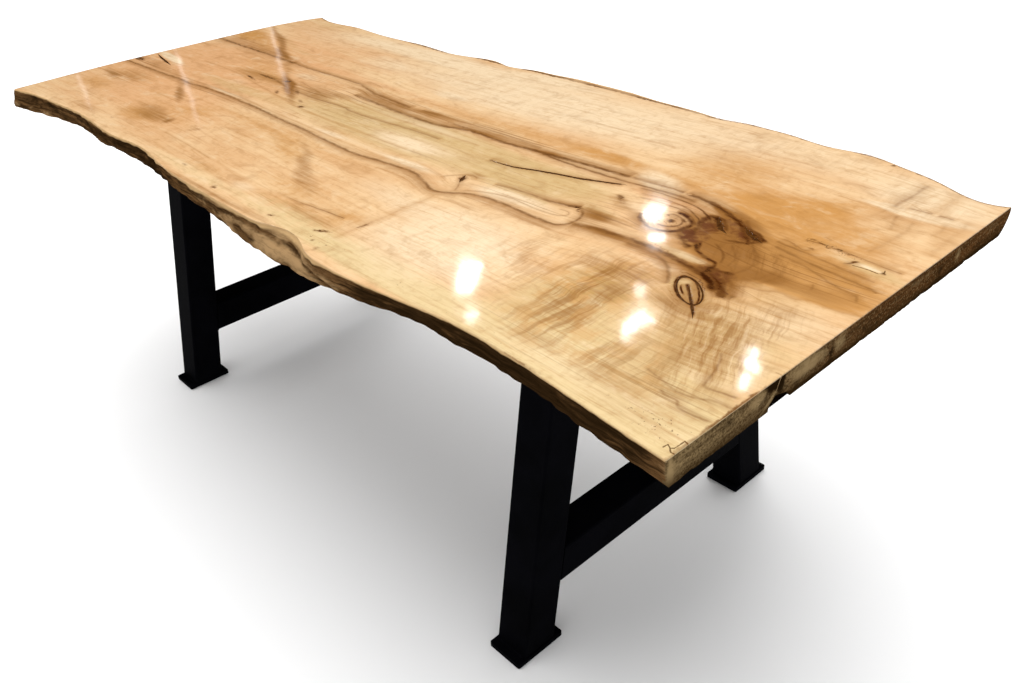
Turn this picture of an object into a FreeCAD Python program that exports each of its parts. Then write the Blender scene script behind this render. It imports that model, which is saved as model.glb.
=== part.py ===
import FreeCAD, Part
import math
import os

Vector = FreeCAD.Vector

# Live edge table: a thick slab on two welded steel trapezoid frames. Sizes are in millimetres.
# X runs along the slab, Y across it from the near edge to the far edge, and Z is up.
# The origin is on the floor, under the middle of the slab's outline.

# Slab
table_height = 762.0
slab_length = 2179.0
slab_width = 972.0
slab_thickness = 44.0
shoulder_drop = 20.0        # below the top, where the live edges are fullest
brow_drop = 5.0             # below the top, where the worn upper corner of a live edge ends

# Each row is one station along a live edge: its place along the slab as a share of half its
# length, the reach of the top's outline as a share of half its width, and then how far the brow,
# the shoulder and the underside stand out from that outline, as shares of the slab's thickness.
near_edge_shares = [
    (-0.975, 0.967, 0.07, 0.16, 0.22),
    (-0.897, 0.928, 0.07, 0.20, 0.25),
    (-0.805, 0.912, 0.05, 0.11, -0.05),
    (-0.714, 0.897, 0.05, 0.11, -0.11),
    (-0.622, 0.895, 0.05, 0.11, -0.08),
    (-0.530, 0.912, 0.05, 0.10, -0.10),
    (-0.438, 0.914, 0.05, 0.05, -0.20),
    (-0.346, 0.899, 0.05, 0.14, -0.02),
    (-0.291, 0.909, 0.05, 0.11, -0.05),
    (-0.236, 0.930, 0.05, 0.07, -0.16),
    (-0.163, 0.949, 0.05, 0.05, -0.16),
    (-0.071, 0.957, 0.05, 0.07, -0.09),
    (0.021, 0.961, 0.05, 0.11, 0.05),
    (0.094, 0.965, 0.02, 0.16, 0.18),
    (0.158, 0.961, 0.00, 0.20, 0.34),
    (0.227, 0.932, 0.00, 0.45, 0.69),
    (0.259, 0.940, 0.00, 0.36, 0.61),
    (0.314, 0.979, 0.03, 0.16, 0.16),
    (0.369, 0.989, 0.04, 0.08, -0.06),
    (0.425, 0.984, 0.05, 0.03, -0.20),
    (0.498, 0.967, 0.05, -0.04, -0.39),
    (0.571, 0.951, 0.02, -0.04, -0.38),
    (0.626, 0.940, 0.02, -0.02, -0.26),
    (0.700, 0.940, 0.02, 0.00, -0.16),
    (0.792, 0.955, 0.02, 0.00, -0.20),
    (0.893, 0.977, 0.02, 0.00, -0.18),
    (1.000, 1.000, 0.00, -0.02, -0.16),
]
far_edge_shares = [
    (-0.961, 0.947, 0.11, 0.14, -0.05),
    (-0.906, 0.914, 0.18, 0.18, 0.00),
    (-0.851, 0.914, 0.11, 0.16, 0.00),
    (-0.787, 0.930, 0.09, 0.16, 0.00),
    (-0.714, 0.922, 0.09, 0.16, 0.00),
    (-0.622, 0.909, 0.09, 0.14, -0.05),
    (-0.540, 0.912, 0.13, 0.18, 0.00),
    (-0.493, 0.905, 0.36, 0.36, 0.14),
    (-0.438, 0.897, 0.36, 0.34, 0.11),
    (-0.383, 0.889, 0.36, 0.32, 0.09),
    (-0.328, 0.905, 0.14, 0.18, 0.00),
    (-0.255, 0.922, 0.45, 0.41, 0.14),
    (-0.200, 0.922, 0.41, 0.36, 0.11),
    (-0.154, 0.922, 0.14, 0.18, 0.00),
    (-0.099, 0.930, 0.45, 0.41, 0.14),
    (-0.034, 0.930, 0.59, 0.55, 0.23),
    (0.021, 0.932, 0.73, 0.64, 0.27),
    (0.112, 0.932, 0.75, 0.68, 0.32),
    (0.204, 0.932, 0.70, 0.64, 0.27),
    (0.259, 0.930, 0.55, 0.50, 0.18),
    (0.314, 0.930, 0.50, 0.45, 0.14),
    (0.388, 0.926, 0.41, 0.36, 0.09),
    (0.434, 0.922, 0.36, 0.32, 0.09),
    (0.480, 0.942, 0.32, 0.32, 0.09),
    (0.535, 0.951, 0.18, 0.23, 0.00),
    (0.590, 0.947, 0.14, 0.18, 0.00),
    (0.663, 0.926, 0.14, 0.18, 0.00),
    (0.737, 0.938, 0.27, 0.27, 0.05),
    (0.801, 0.910, 0.20, 0.22, 0.00),
    (0.847, 0.883, 0.18, 0.18, -0.07),
    (0.893, 0.843, 0.16, 0.14, -0.18),
    (0.939, 0.797, 0.16, 0.12, -0.32),
    (1.000, 0.808, 0.14, 0.05, -0.50),
]
# The left end is bowed, with these points between its corners; the right end is sawn straight.
left_end_shares = [(-0.984, -0.774), (-0.996, -0.465), (-1.000, -0.053), (-1.000, 0.358), (-0.994, 0.646)]

# Notch at the lower edge of the right end, filled with old bark, as shares of half the slab's
# width and of its thickness
notch_outline_shares = [(-0.605, 0.0), (-0.590, 0.27), (-0.563, 0.48), (-0.495, 0.27), (-0.453, 0.0)]
notch_depth = 60.0
notch_taper_share = 0.35
bark_setback = 4.0          # of the bark, from the end face

# Dark resin fills, flush with the top. Their places are shares of half the slab's length and width.
crack_line_shares = [
    (0.250, -0.029), (0.305, -0.016), (0.342, 0.012), (0.388, 0.043),
    (0.434, 0.066), (0.480, 0.107), (0.510, 0.136),
]
crack_width = 6.0
crack_depth = 12.0
end_void_shares = [(-0.989, -0.146), (-0.943, -0.171), (-0.897, -0.191), (-0.847, -0.212)]
end_void_width = 7.0
end_void_depth = 9.0
knot_ring_shares = (0.803, -0.346)
knot_ring_length = 86.0
knot_ring_width = 38.0
knot_ring_line = 3.0
knot_ring_turn = -43.0      # degrees, from the slab's length to the ring's
knot_split_shares = [(0.796, -0.327), (0.817, -0.383), (0.840, -0.438), (0.851, -0.471)]
knot_split_width = 4.0
knot_fill_depth = 10.0
bark_pocket_shares = [
    [(0.695, 0.123), (0.709, 0.086), (0.723, 0.053), (0.740, 0.033)],
    [(0.746, 0.115), (0.769, 0.074), (0.796, 0.051)],
]
bark_pocket_width = 8.0
bark_pocket_depth = 8.0
small_knot_shares = [(0.270, -0.193), (0.278, -0.226), (0.285, -0.255)]
small_knot_width = 9.0
small_knot_depth = 8.0

# Steel frames. The legs lean in towards the slab, seen from the table's end.
frame_inset = 436.1         # from each end of the slab's outline to the middle of a frame
frames_shift_x = 22.5
frames_shift_y = -12.0
leg_tube = 76.2
tube_wall = 3.2
tube_corner = 5.0
leg_foot_inset = 151.1      # from each side of the slab's outline to a leg's centre, on its foot plate
leg_lean = 120.3            # of a leg's centre, inwards from its foot to its top
crossbar_middle_height = 179.0

# Plates and pads
foot_overhang_x = 1.9       # of the foot plate, past the leg
foot_overhang_y = 18.3
foot_plate_thickness = 10.0
plate_corner = 4.0
foot_pad_thickness = 2.0
foot_pad_inset = 4.0
top_plate_width_x = 127.0
top_plate_thickness = 9.5
weld_size = 4.0
weld_crown_share = 0.25     # how far a bead is proud of a flat fillet, as a share of its size

# Fasteners
bolt_diameter = 8.0
bolt_grip_above_plate = 20.0
bolt_head_across_flats = 13.0
bolt_head_height = 5.3
washer_gap_to_leg = 12.7
washer_gap_to_plate_end = 15.0
washer_gap_to_plate_side = 5.5
slot_length = 22.0          # of the outer slots, which let the slab swell and shrink across its width
slot_clearance = 0.5        # between a bolt and each side of its slot or hole
washer_diameter = 24.0
washer_thickness = 1.8
washer_clearance = 0.4
insert_diameter = 12.0
insert_length = 25.0
fit_clearance = 0.3         # between a round piece and the hole that it stands in, all round
insert_hole_extra = 5.0     # the blind hole's depth past the insert's end

overrun = 10.0              # how far a cutting shape runs past the face that it cuts

# Worked out from the sizes above
half_length = slab_length / 2
half_width = slab_width / 2
slab_bottom = table_height - slab_thickness
foot_plate_top = foot_pad_thickness + foot_plate_thickness
top_plate_bottom = slab_bottom - top_plate_thickness
frame_spacing = slab_length - 2 * frame_inset
leg_foot_spacing = slab_width - 2 * leg_foot_inset
leg_top_spacing = leg_foot_spacing - 2 * leg_lean
leg_rise = top_plate_bottom - foot_plate_top
lean_angle = math.atan2(leg_lean, leg_rise)
leg_depth_y = leg_tube / math.cos(lean_angle)
foot_plate_width_x = leg_tube + 2 * foot_overhang_x
foot_plate_length_y = leg_depth_y + 2 * foot_overhang_y
washer_bottom = top_plate_bottom - washer_thickness
outer_bolt_y = (leg_top_spacing + leg_depth_y + washer_diameter) / 2 + washer_gap_to_leg
bolt_x = (top_plate_width_x - washer_diameter) / 2 - washer_gap_to_plate_side
top_plate_length_y = 2 * (outer_bolt_y + washer_gap_to_plate_end) + washer_diameter
frame_places = {"left": frames_shift_x - frame_spacing / 2, "right": frames_shift_x + frame_spacing / 2}
near_side = -1
far_side = 1
sides = {"near": near_side, "far": far_side}


def smooth_edge(points):
    curve = Part.BSplineCurve()
    curve.interpolate(points)
    return curve.toShape()


def straight_wire(points):
    return Part.makePolygon(points + [points[0]])


def live_edge_points(rows, side, level, height):
    """Points of one live edge at a height. Level 0 is the top's outline, 1 to 3 the rows' offsets."""
    points = []
    for row in rows:
        reach = row[1] * half_width
        if level > 0:
            reach += row[1 + level] * slab_thickness
        points.append(Vector(row[0] * half_length, side * reach, height))
    return points


def slab_outline(level, height):
    near = live_edge_points(near_edge_shares, near_side, level, height)
    far = live_edge_points(far_edge_shares, far_side, level, height)
    bow = [Vector(along * half_length, across * half_width, height) for along, across in left_end_shares]
    right_end = Part.LineSegment(near[-1], far[-1]).toShape()
    left_end = smooth_edge([far[0]] + bow[::-1] + [near[0]])
    return Part.Wire([smooth_edge(near), right_end, smooth_edge(far[::-1]), left_end])


def make_slab_blank():
    levels = [
        slab_outline(3, slab_bottom),
        slab_outline(2, table_height - shoulder_drop),
        slab_outline(1, table_height - brow_drop),
        slab_outline(0, table_height),
    ]
    return Part.makeLoft(levels, True, False)


def notch_section(x, size_share):
    middle_y = sum(across for across, up in notch_outline_shares) / len(notch_outline_shares) * half_width
    points = []
    for across, up in notch_outline_shares:
        y = middle_y + (across * half_width - middle_y) * size_share
        z = slab_bottom + up * slab_thickness * size_share
        if up == 0:
            z -= overrun
        points.append(Vector(x, y, z))
    return straight_wire(points)


def make_notch():
    end_section = notch_section(half_length + overrun, 1)
    inner_section = notch_section(half_length - notch_depth, notch_taper_share)
    return Part.makeLoft([end_section, inner_section], True, True)


def make_bark_inclusion(blank, notch):
    end_slice = Part.makeBox(bark_setback, slab_width, table_height,
                             Vector(half_length - bark_setback, -half_width, 0))
    return notch.common(blank).cut(end_slice)


def split_fill(line_shares, width, depth):
    """A split along a line, widest in its middle and running out to a point at each end."""
    line = [Vector(along * half_length, across * half_width, table_height) for along, across in line_shares]
    one_side = []
    other_side = []
    for index in range(1, len(line) - 1):
        run = line[index + 1] - line[index - 1]
        square = Vector(-run.y, run.x, 0).normalize()
        half_opening = width / 2 * math.sin(math.pi * index / (len(line) - 1)) ** 0.5
        one_side.append(line[index] + square * half_opening)
        other_side.append(line[index] - square * half_opening)
    outline = straight_wire([line[0]] + one_side + [line[-1]] + other_side[::-1])
    return Part.Face(outline).extrude(Vector(0, 0, -depth))


def oval_prism(length, width):
    """An oval solid that hangs down from the top's surface at the knot ring's place."""
    oval = Part.Ellipse(Vector(0, 0, 0), length / 2, width / 2).toShape()
    oval.rotate(Vector(0, 0, 0), Vector(0, 0, 1), knot_ring_turn)
    along, across = knot_ring_shares
    oval.translate(Vector(along * half_length, across * half_width, table_height))
    return Part.Face(Part.Wire([oval])).extrude(Vector(0, 0, -knot_fill_depth))


def make_knot_ring():
    outer = oval_prism(knot_ring_length, knot_ring_width)
    inner = oval_prism(knot_ring_length - 2 * knot_ring_line, knot_ring_width - 2 * knot_ring_line)
    split = split_fill(knot_split_shares, knot_split_width, knot_fill_depth)
    return outer.cut(inner).fuse(split)


def make_bark_pockets():
    return Part.makeCompound([
        split_fill(line_shares, bark_pocket_width, bark_pocket_depth) for line_shares in bark_pocket_shares
    ])


def rounded_face(middle, size_x, size_y, corner):
    """A level rectangle with rounded corners."""
    half_x = size_x / 2
    half_y = size_y / 2
    bend = corner * (1 - math.sqrt(0.5))
    edges = []
    corners = [(1, 1), (-1, 1), (-1, -1), (1, -1)]
    for index, (side_x, side_y) in enumerate(corners):
        along_y = Vector(side_x * half_x, side_y * (half_y - corner), 0)
        along_x = Vector(side_x * (half_x - corner), side_y * half_y, 0)
        middle_of_bend = Vector(side_x * (half_x - bend), side_y * (half_y - bend), 0)
        first, last = (along_y, along_x) if side_x * side_y > 0 else (along_x, along_y)
        edges.append(Part.Arc(first, middle_of_bend, last).toShape())
        next_x, next_y = corners[(index + 1) % len(corners)]
        if next_x != side_x:
            next_point = Vector(next_x * (half_x - corner), next_y * half_y, 0)
        else:
            next_point = Vector(next_x * half_x, next_y * (half_y - corner), 0)
        edges.append(Part.LineSegment(last, next_point).toShape())
    face = Part.Face(Part.Wire(edges))
    face.translate(middle)
    return face


def tube_face(middle, size_x, size_y, wall):
    outer = rounded_face(middle, size_x, size_y, tube_corner)
    inner = rounded_face(middle, size_x - 2 * tube_wall, size_y - 2 * wall, tube_corner - tube_wall)
    return outer.cut(inner).Faces[0]


def leg_foot(frame_x, side):
    return Vector(frame_x, frames_shift_y + side * leg_foot_spacing / 2, foot_plate_top)


def leg_run(side):
    return Vector(0, -side * leg_lean, leg_rise)


def make_leg(frame_x, side):
    wall_y = tube_wall / math.cos(lean_angle)
    return tube_face(leg_foot(frame_x, side), leg_tube, leg_depth_y, wall_y).extrude(leg_run(side))


def leg_envelope(frame_x, side):
    """The space that a leg's flat faces bound, wider than the leg, to trim the crossbar with."""
    half_x = leg_tube / 2 + overrun
    foot = leg_foot(frame_x, side)
    inner_y = -side * leg_depth_y / 2
    outer_y = side * (leg_depth_y / 2 + leg_tube)
    corners = [
        foot + Vector(-half_x, inner_y, 0), foot + Vector(half_x, inner_y, 0),
        foot + Vector(half_x, outer_y, 0), foot + Vector(-half_x, outer_y, 0),
    ]
    return Part.Face(straight_wire(corners)).extrude(leg_run(side))


def make_crossbar(frame_x):
    bar = tube_face(Vector(0, 0, 0), leg_tube, leg_tube, tube_wall).extrude(Vector(0, 0, leg_foot_spacing))
    bar.rotate(Vector(0, 0, 0), Vector(1, 0, 0), -90)
    bar.translate(Vector(frame_x, frames_shift_y - leg_foot_spacing / 2, crossbar_middle_height))
    for side in sides.values():
        bar = bar.cut(leg_envelope(frame_x, side))
    return bar


def slot_face(middle):
    radius = bolt_diameter / 2 + slot_clearance
    straight = slot_length / 2 - radius
    near_right = Vector(radius, -straight, 0)
    far_right = Vector(radius, straight, 0)
    far_left = Vector(-radius, straight, 0)
    near_left = Vector(-radius, -straight, 0)
    face = Part.Face(Part.Wire([
        Part.LineSegment(near_right, far_right).toShape(),
        Part.Arc(far_right, Vector(0, slot_length / 2, 0), far_left).toShape(),
        Part.LineSegment(far_left, near_left).toShape(),
        Part.Arc(near_left, Vector(0, -slot_length / 2, 0), near_right).toShape(),
    ]))
    face.translate(middle)
    return face


def make_top_plate(frame_x):
    middle = Vector(frame_x, frames_shift_y, top_plate_bottom)
    plate = rounded_face(middle, top_plate_width_x, top_plate_length_y, plate_corner)
    plate = plate.extrude(Vector(0, 0, top_plate_thickness))
    hole_bottom = top_plate_bottom - overrun
    hole_depth = top_plate_thickness + 2 * overrun
    for x, y in bolt_places(frame_x):
        if y == frames_shift_y:
            plate = plate.cut(upright(x, y, hole_bottom, bolt_diameter + 2 * slot_clearance, hole_depth))
        else:
            plate = plate.cut(slot_face(Vector(x, y, hole_bottom)).extrude(Vector(0, 0, hole_depth)))
    return plate


def make_foot_plate(frame_x, side):
    foot = leg_foot(frame_x, side)
    middle = Vector(foot.x, foot.y, foot_pad_thickness)
    plate = rounded_face(middle, foot_plate_width_x, foot_plate_length_y, plate_corner)
    return plate.extrude(Vector(0, 0, foot_plate_thickness))


def make_foot_pad(frame_x, side):
    foot = leg_foot(frame_x, side)
    size_x = foot_plate_width_x - 2 * foot_pad_inset
    size_y = foot_plate_length_y - 2 * foot_pad_inset
    pad = rounded_face(Vector(foot.x, foot.y, 0), size_x, size_y, plate_corner)
    return pad.extrude(Vector(0, 0, foot_pad_thickness))


def weld_bead(corner, along_first, along_second):
    """A fillet weld that runs along X, in the corner between two directions of the YZ plane."""
    first = corner + along_first * weld_size
    second = corner + along_second * weld_size
    outwards = (along_first + along_second).normalize()
    crown = (first + second) * 0.5 + outwards * weld_size * weld_crown_share
    section = Part.Wire([
        Part.LineSegment(second, corner).toShape(),
        Part.LineSegment(corner, first).toShape(),
        Part.Arc(first, crown, second).toShape(),
    ])
    length = leg_tube - 2 * tube_corner
    bead = Part.Face(section).extrude(Vector(length, 0, 0))
    bead.translate(Vector(-length / 2, 0, 0))
    return bead


def make_welds(frame_x):
    beads = []
    for side in sides.values():
        foot = leg_foot(frame_x, side)
        up_leg = leg_run(side).normalize()
        for face_side in sides.values():
            away = Vector(0, face_side, 0)
            corner = foot + away * (leg_depth_y / 2)
            beads.append(weld_bead(corner, away, up_leg))
            beads.append(weld_bead(corner + leg_run(side), away, up_leg * -1))
        inwards = Vector(0, -side, 0)
        for bar_side in (1, -1):
            height = crossbar_middle_height + bar_side * leg_tube / 2
            climb = (height - foot_plate_top) / leg_rise
            corner = foot + inwards * (leg_depth_y / 2) + leg_run(side) * climb
            beads.append(weld_bead(corner, inwards, up_leg * bar_side))
    return Part.makeCompound(beads)


def bolt_places(frame_x):
    rows = [frames_shift_y - outer_bolt_y, frames_shift_y, frames_shift_y + outer_bolt_y]
    return [(frame_x + column, row) for row in rows for column in (-bolt_x, bolt_x)]


def upright(x, y, bottom, diameter, height):
    return Part.makeCylinder(diameter / 2, height, Vector(x, y, bottom))


def make_bolt(x, y):
    corner_radius = bolt_head_across_flats / 2 / math.cos(math.pi / 6)
    head_bottom = washer_bottom - bolt_head_height
    corners = [
        Vector(x + corner_radius * math.cos(math.pi / 3 * turn),
               y + corner_radius * math.sin(math.pi / 3 * turn), head_bottom)
        for turn in range(6)
    ]
    head = Part.Face(straight_wire(corners)).extrude(Vector(0, 0, bolt_head_height))
    shank_length = slab_bottom + bolt_grip_above_plate - washer_bottom
    return head.fuse(upright(x, y, washer_bottom, bolt_diameter, shank_length))


def make_washer(x, y):
    disc = upright(x, y, washer_bottom, washer_diameter, washer_thickness)
    hole_bottom = washer_bottom - overrun
    return disc.cut(upright(x, y, hole_bottom, bolt_diameter + 2 * washer_clearance, 2 * overrun))


def make_insert(x, y):
    sleeve = upright(x, y, slab_bottom, insert_diameter, insert_length)
    bore_bottom = slab_bottom - overrun
    bore_length = insert_length + 2 * overrun
    return sleeve.cut(upright(x, y, bore_bottom, bolt_diameter + 2 * fit_clearance, bore_length))


def make_slab(blank, cuts):
    slab = blank
    for cut_shape in cuts:
        slab = slab.cut(cut_shape)
    hole_diameter = insert_diameter + 2 * fit_clearance
    hole_depth = insert_length + insert_hole_extra
    for frame_x in frame_places.values():
        for x, y in bolt_places(frame_x):
            slab = slab.cut(upright(x, y, slab_bottom - overrun, hole_diameter, hole_depth + overrun))
    return slab


parts = {
    "crack_fill": split_fill(crack_line_shares, crack_width, crack_depth),
    "end_void_fill": split_fill(end_void_shares, end_void_width, end_void_depth),
    "knot_ring_fill": make_knot_ring(),
    "bark_pocket_fills": make_bark_pockets(),
    "small_knot_fill": split_fill(small_knot_shares, small_knot_width, small_knot_depth),
}
blank = make_slab_blank()
notch = make_notch()
parts["slab_top"] = make_slab(blank, [notch] + list(parts.values()))
parts["bark_inclusion"] = make_bark_inclusion(blank, notch)

for frame_name, frame_x in frame_places.items():
    parts[frame_name + "_crossbar"] = make_crossbar(frame_x)
    parts[frame_name + "_top_plate"] = make_top_plate(frame_x)
    parts[frame_name + "_welds"] = make_welds(frame_x)
    for side_name, side in sides.items():
        parts[frame_name + "_leg_" + side_name] = make_leg(frame_x, side)
        parts[frame_name + "_foot_plate_" + side_name] = make_foot_plate(frame_x, side)
        parts[frame_name + "_foot_pad_" + side_name] = make_foot_pad(frame_x, side)
    places = bolt_places(frame_x)
    parts[frame_name + "_bolts"] = Part.makeCompound([make_bolt(x, y) for x, y in places])
    parts[frame_name + "_washers"] = Part.makeCompound([make_washer(x, y) for x, y in places])
    parts[frame_name + "_inserts"] = Part.makeCompound([make_insert(x, y) for x, y in places])

os.makedirs("parts", exist_ok=True)
for name, shape in parts.items():
    shape.exportStep("parts/" + name + ".step")
    box = shape.BoundBox
    print(name, len(shape.Solids), "solids, valid", shape.isValid(), "volume", round(shape.Volume),
          "x", round(box.XMin, 1), round(box.XMax, 1), "y", round(box.YMin, 1), round(box.YMax, 1),
          "z", round(box.ZMin, 1), round(box.ZMax, 1))
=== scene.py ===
import math

import bmesh
import bpy
import numpy as np
from mathutils import Matrix, Vector, noise
from mathutils.bvhtree import BVHTree


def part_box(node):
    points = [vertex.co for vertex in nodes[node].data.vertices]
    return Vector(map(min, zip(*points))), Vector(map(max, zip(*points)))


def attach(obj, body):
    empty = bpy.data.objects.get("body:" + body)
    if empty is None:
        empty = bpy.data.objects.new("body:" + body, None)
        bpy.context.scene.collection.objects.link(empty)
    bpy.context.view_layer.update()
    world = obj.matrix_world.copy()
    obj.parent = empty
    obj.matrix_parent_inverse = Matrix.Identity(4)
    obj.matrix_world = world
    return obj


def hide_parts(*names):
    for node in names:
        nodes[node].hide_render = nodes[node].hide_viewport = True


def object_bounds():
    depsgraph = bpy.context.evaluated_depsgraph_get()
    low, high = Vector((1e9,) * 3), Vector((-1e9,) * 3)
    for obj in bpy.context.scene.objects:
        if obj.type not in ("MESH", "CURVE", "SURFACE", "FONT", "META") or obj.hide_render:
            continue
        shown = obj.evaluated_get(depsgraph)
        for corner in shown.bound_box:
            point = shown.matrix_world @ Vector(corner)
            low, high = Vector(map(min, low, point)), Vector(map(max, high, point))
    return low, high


# Live edge table: a figured, spalted slab under a clear gloss coat, on two black steel frames.
# Lengths are in metres, in the frame that the parts come in: X along the slab, Y across it, Z up.
# The tables of the wood's figure and of the edge's folds are in millimetres.

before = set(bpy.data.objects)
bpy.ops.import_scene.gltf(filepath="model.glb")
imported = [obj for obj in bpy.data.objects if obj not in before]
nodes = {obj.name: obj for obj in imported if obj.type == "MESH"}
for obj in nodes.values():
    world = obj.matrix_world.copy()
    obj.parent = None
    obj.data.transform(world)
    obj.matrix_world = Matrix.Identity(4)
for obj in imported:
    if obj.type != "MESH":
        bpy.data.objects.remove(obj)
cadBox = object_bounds()
floorLevel = cadBox[0].z
topLevel = cadBox[1].z
slabLow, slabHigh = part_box("slab_top")
print("frame loaded:", len(nodes), "nodes")


# Camera, where the photograph was taken from

photoView = {
    "place": (1.57183, -1.12224, 1.42096),
    "yaw": -48.79,      # degrees from +Y, positive towards +X
    "pitch": 32.25,     # degrees down
    "roll": -3.45,
    "lens": 32.5,
    "sensor": 36.0,
    "pictureWidth": 1024,
    "pictureHeight": 683,
}


def viewAxes():
    yaw, pitch, roll = (math.radians(photoView[angle]) for angle in ("yaw", "pitch", "roll"))
    flat = math.cos(pitch)
    forward = Vector((math.sin(yaw) * flat, math.cos(yaw) * flat, -math.sin(pitch)))
    level = Vector((math.cos(yaw), -math.sin(yaw), 0))
    upright = level.cross(forward)
    right = level * math.cos(roll) + upright * math.sin(roll)
    up = upright * math.cos(roll) - level * math.sin(roll)
    return right, up, forward


def makeCamera():
    right, up, forward = viewAxes()
    camera = bpy.data.objects.new("camera", bpy.data.cameras.new("camera"))
    camera.data.lens = photoView["lens"]
    camera.data.sensor_width = photoView["sensor"]
    turn = Matrix((right, up, -forward)).transposed()
    camera.matrix_world = Matrix.Translation(photoView["place"]) @ turn.to_4x4()
    bpy.context.scene.collection.objects.link(camera)
    bpy.context.scene.camera = camera


def rayThrough(pixelX, pixelY):
    right, up, forward = viewAxes()
    pixelSize = photoView["sensor"] / photoView["lens"] / photoView["pictureWidth"]
    sideways = (pixelX - photoView["pictureWidth"] / 2) * pixelSize
    upwards = (photoView["pictureHeight"] / 2 - pixelY) * pixelSize
    return forward + right * sideways + up * upwards


makeCamera()
print("camera placed")


# Node helpers

def feed(tree, node, inputs):       # links a node's inputs, or sets them
    for name, value in inputs.items():
        if isinstance(value, bpy.types.NodeSocket):
            tree.links.new(value, node.inputs[name])
        else:
            node.inputs[name].default_value = value


def put(tree, kind, inputs=None, **settings):
    node = tree.nodes.new(kind)
    for name, value in settings.items():
        setattr(node, name, value)
    feed(tree, node, inputs or {})
    return node


def calc(tree, operation, first, second=0.0, third=0.0, clamp=False):
    inputs = {0: first, 1: second, 2: third}
    return put(tree, "ShaderNodeMath", inputs, operation=operation, use_clamp=clamp).outputs[0]


def times(tree, first, second, clamp=False):
    return calc(tree, "MULTIPLY", first, second, clamp=clamp)


def timesPlus(tree, first, second, third):
    return calc(tree, "MULTIPLY_ADD", first, second, third)


def ramp(tree, value, low, high, newLow=0.0, newHigh=1.0):      # a smooth step between two values
    inputs = {"Value": value, "From Min": low, "From Max": high, "To Min": newLow, "To Max": newHigh}
    return put(tree, "ShaderNodeMapRange", inputs, interpolation_type="SMOOTHSTEP").outputs[0]


def blend(tree, factor, first, second, mode="MIX"):
    inputs = {0: factor, 6: first, 7: second}
    return put(tree, "ShaderNodeMix", inputs, data_type="RGBA", blend_type=mode).outputs[2]


def deepen(tree, factor, first, second):     # a blend that never lightens the first colour
    return blend(tree, factor, first, second, "DARKEN")


def vectorCalc(tree, operation, first, second):
    outputs = put(tree, "ShaderNodeVectorMath", {0: first, 1: second}, operation=operation).outputs
    return outputs["Value" if operation in ("DOT_PRODUCT", "DISTANCE") else "Vector"]


def noiseAt(tree, vector, fineness, detail=3.0, roughness=0.5, distortion=0.0):
    # fineness is one value, or a value for each axis
    if isinstance(fineness, tuple):
        vector, fineness = vectorCalc(tree, "MULTIPLY", vector, fineness), 1.0
    inputs = {"Vector": vector, "Scale": fineness, "Detail": detail, "Roughness": roughness}
    inputs["Distortion"] = distortion
    return put(tree, "ShaderNodeTexNoise", inputs).outputs[0]


def joined(tree, values):       # a vector of single values
    return put(tree, "ShaderNodeCombineXYZ", values).outputs[0]


def parted(tree, vector):
    return put(tree, "ShaderNodeSeparateXYZ", {0: vector}).outputs


def stored(tree, name):         # the three values that the mesh stores under a name
    return put(tree, "ShaderNodeAttribute", attribute_name=name).outputs["Vector"]


def newGroup(name, vectors, values, results):
    group = bpy.data.node_groups.new(name, "ShaderNodeTree")
    sockets = [(label, "INPUT", "NodeSocketVector") for label in vectors]
    sockets += [(label, "INPUT", "NodeSocketFloat") for label in values]
    sockets += [(label, "OUTPUT", "NodeSocketFloat") for label in results]
    for label, side, kind in sockets:
        group.interface.new_socket(name=label, in_out=side, socket_type=kind)
    return group, group.nodes.new("NodeGroupInput").outputs, group.nodes.new("NodeGroupOutput")


def use(tree, group, inputs):
    return put(tree, "ShaderNodeGroup", inputs, node_tree=group).outputs


def newMaterial(name):
    material = bpy.data.materials.new(name)
    material.use_nodes = True
    tree = material.node_tree
    shader = next(node for node in tree.nodes if node.type == "BSDF_PRINCIPLED")
    place = put(tree, "ShaderNodeTexCoord").outputs["Object"]
    return material, tree, shader, place


def bump(tree, height, distance, strength):
    inputs = {"Height": height, "Distance": distance, "Strength": strength}
    return put(tree, "ShaderNodeBump", inputs).outputs[0]


# Shared groups

def makeWoodGrain():        # streaks that follow the grain, at three sizes, and thin dark veins
    group, given, result = newGroup("woodGrain", ["Flow"], [], ["Broad", "Streak", "Fibre", "Vein"])
    sway = noiseAt(group, given["Flow"], (3, 14, 14), 2)
    shift = joined(group, {1: timesPlus(group, sway, 0.012, -0.006)})
    flow = vectorCalc(group, "ADD", given["Flow"], shift)
    vein = noiseAt(group, flow, (2.2, 170, 170), 4, 0.6)
    feed(group, result, {
        "Broad": noiseAt(group, flow, (1.3, 17, 17), 3, 0.55),
        "Streak": noiseAt(group, flow, (5, 105, 105), 6, 0.68),
        "Fibre": noiseAt(group, flow, (24, 330, 330), 4, 0.7),
        "Vein": ramp(group, vein, 0.54, 0.64),
    })
    return group


def makeCurlyFigure():      # streaks and blocks across the grain, and slanting streaks beside the ring knot
    group, given, result = newGroup("curlyFigure", ["Vector"], [], ["Bands", "Blocks", "Slant"])
    sway = noiseAt(group, given["Vector"], (7, 13, 13), 3)
    shift = joined(group, {0: timesPlus(group, sway, 0.035, -0.0175)})
    place = vectorCalc(group, "ADD", given["Vector"], shift)
    across = vectorCalc(group, "DOT_PRODUCT", place, (0.91, 0.40, 0))
    along = vectorCalc(group, "DOT_PRODUCT", place, (-0.40, 0.91, 0))
    slanted = joined(group, {0: across, 1: along})
    fine = noiseAt(group, place, (165, 13, 13), 4, 0.6)
    wide = noiseAt(group, place, (46, 7, 7), 3, 0.55)
    feed(group, result, {
        "Bands": timesPlus(group, wide, 0.55, times(group, fine, 0.45)),
        "Blocks": noiseAt(group, place, (36, 20, 20), 3, 0.6),
        "Slant": noiseAt(group, slanted, (125, 13, 13), 4, 0.65, 0.4),
    })
    return group


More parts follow.
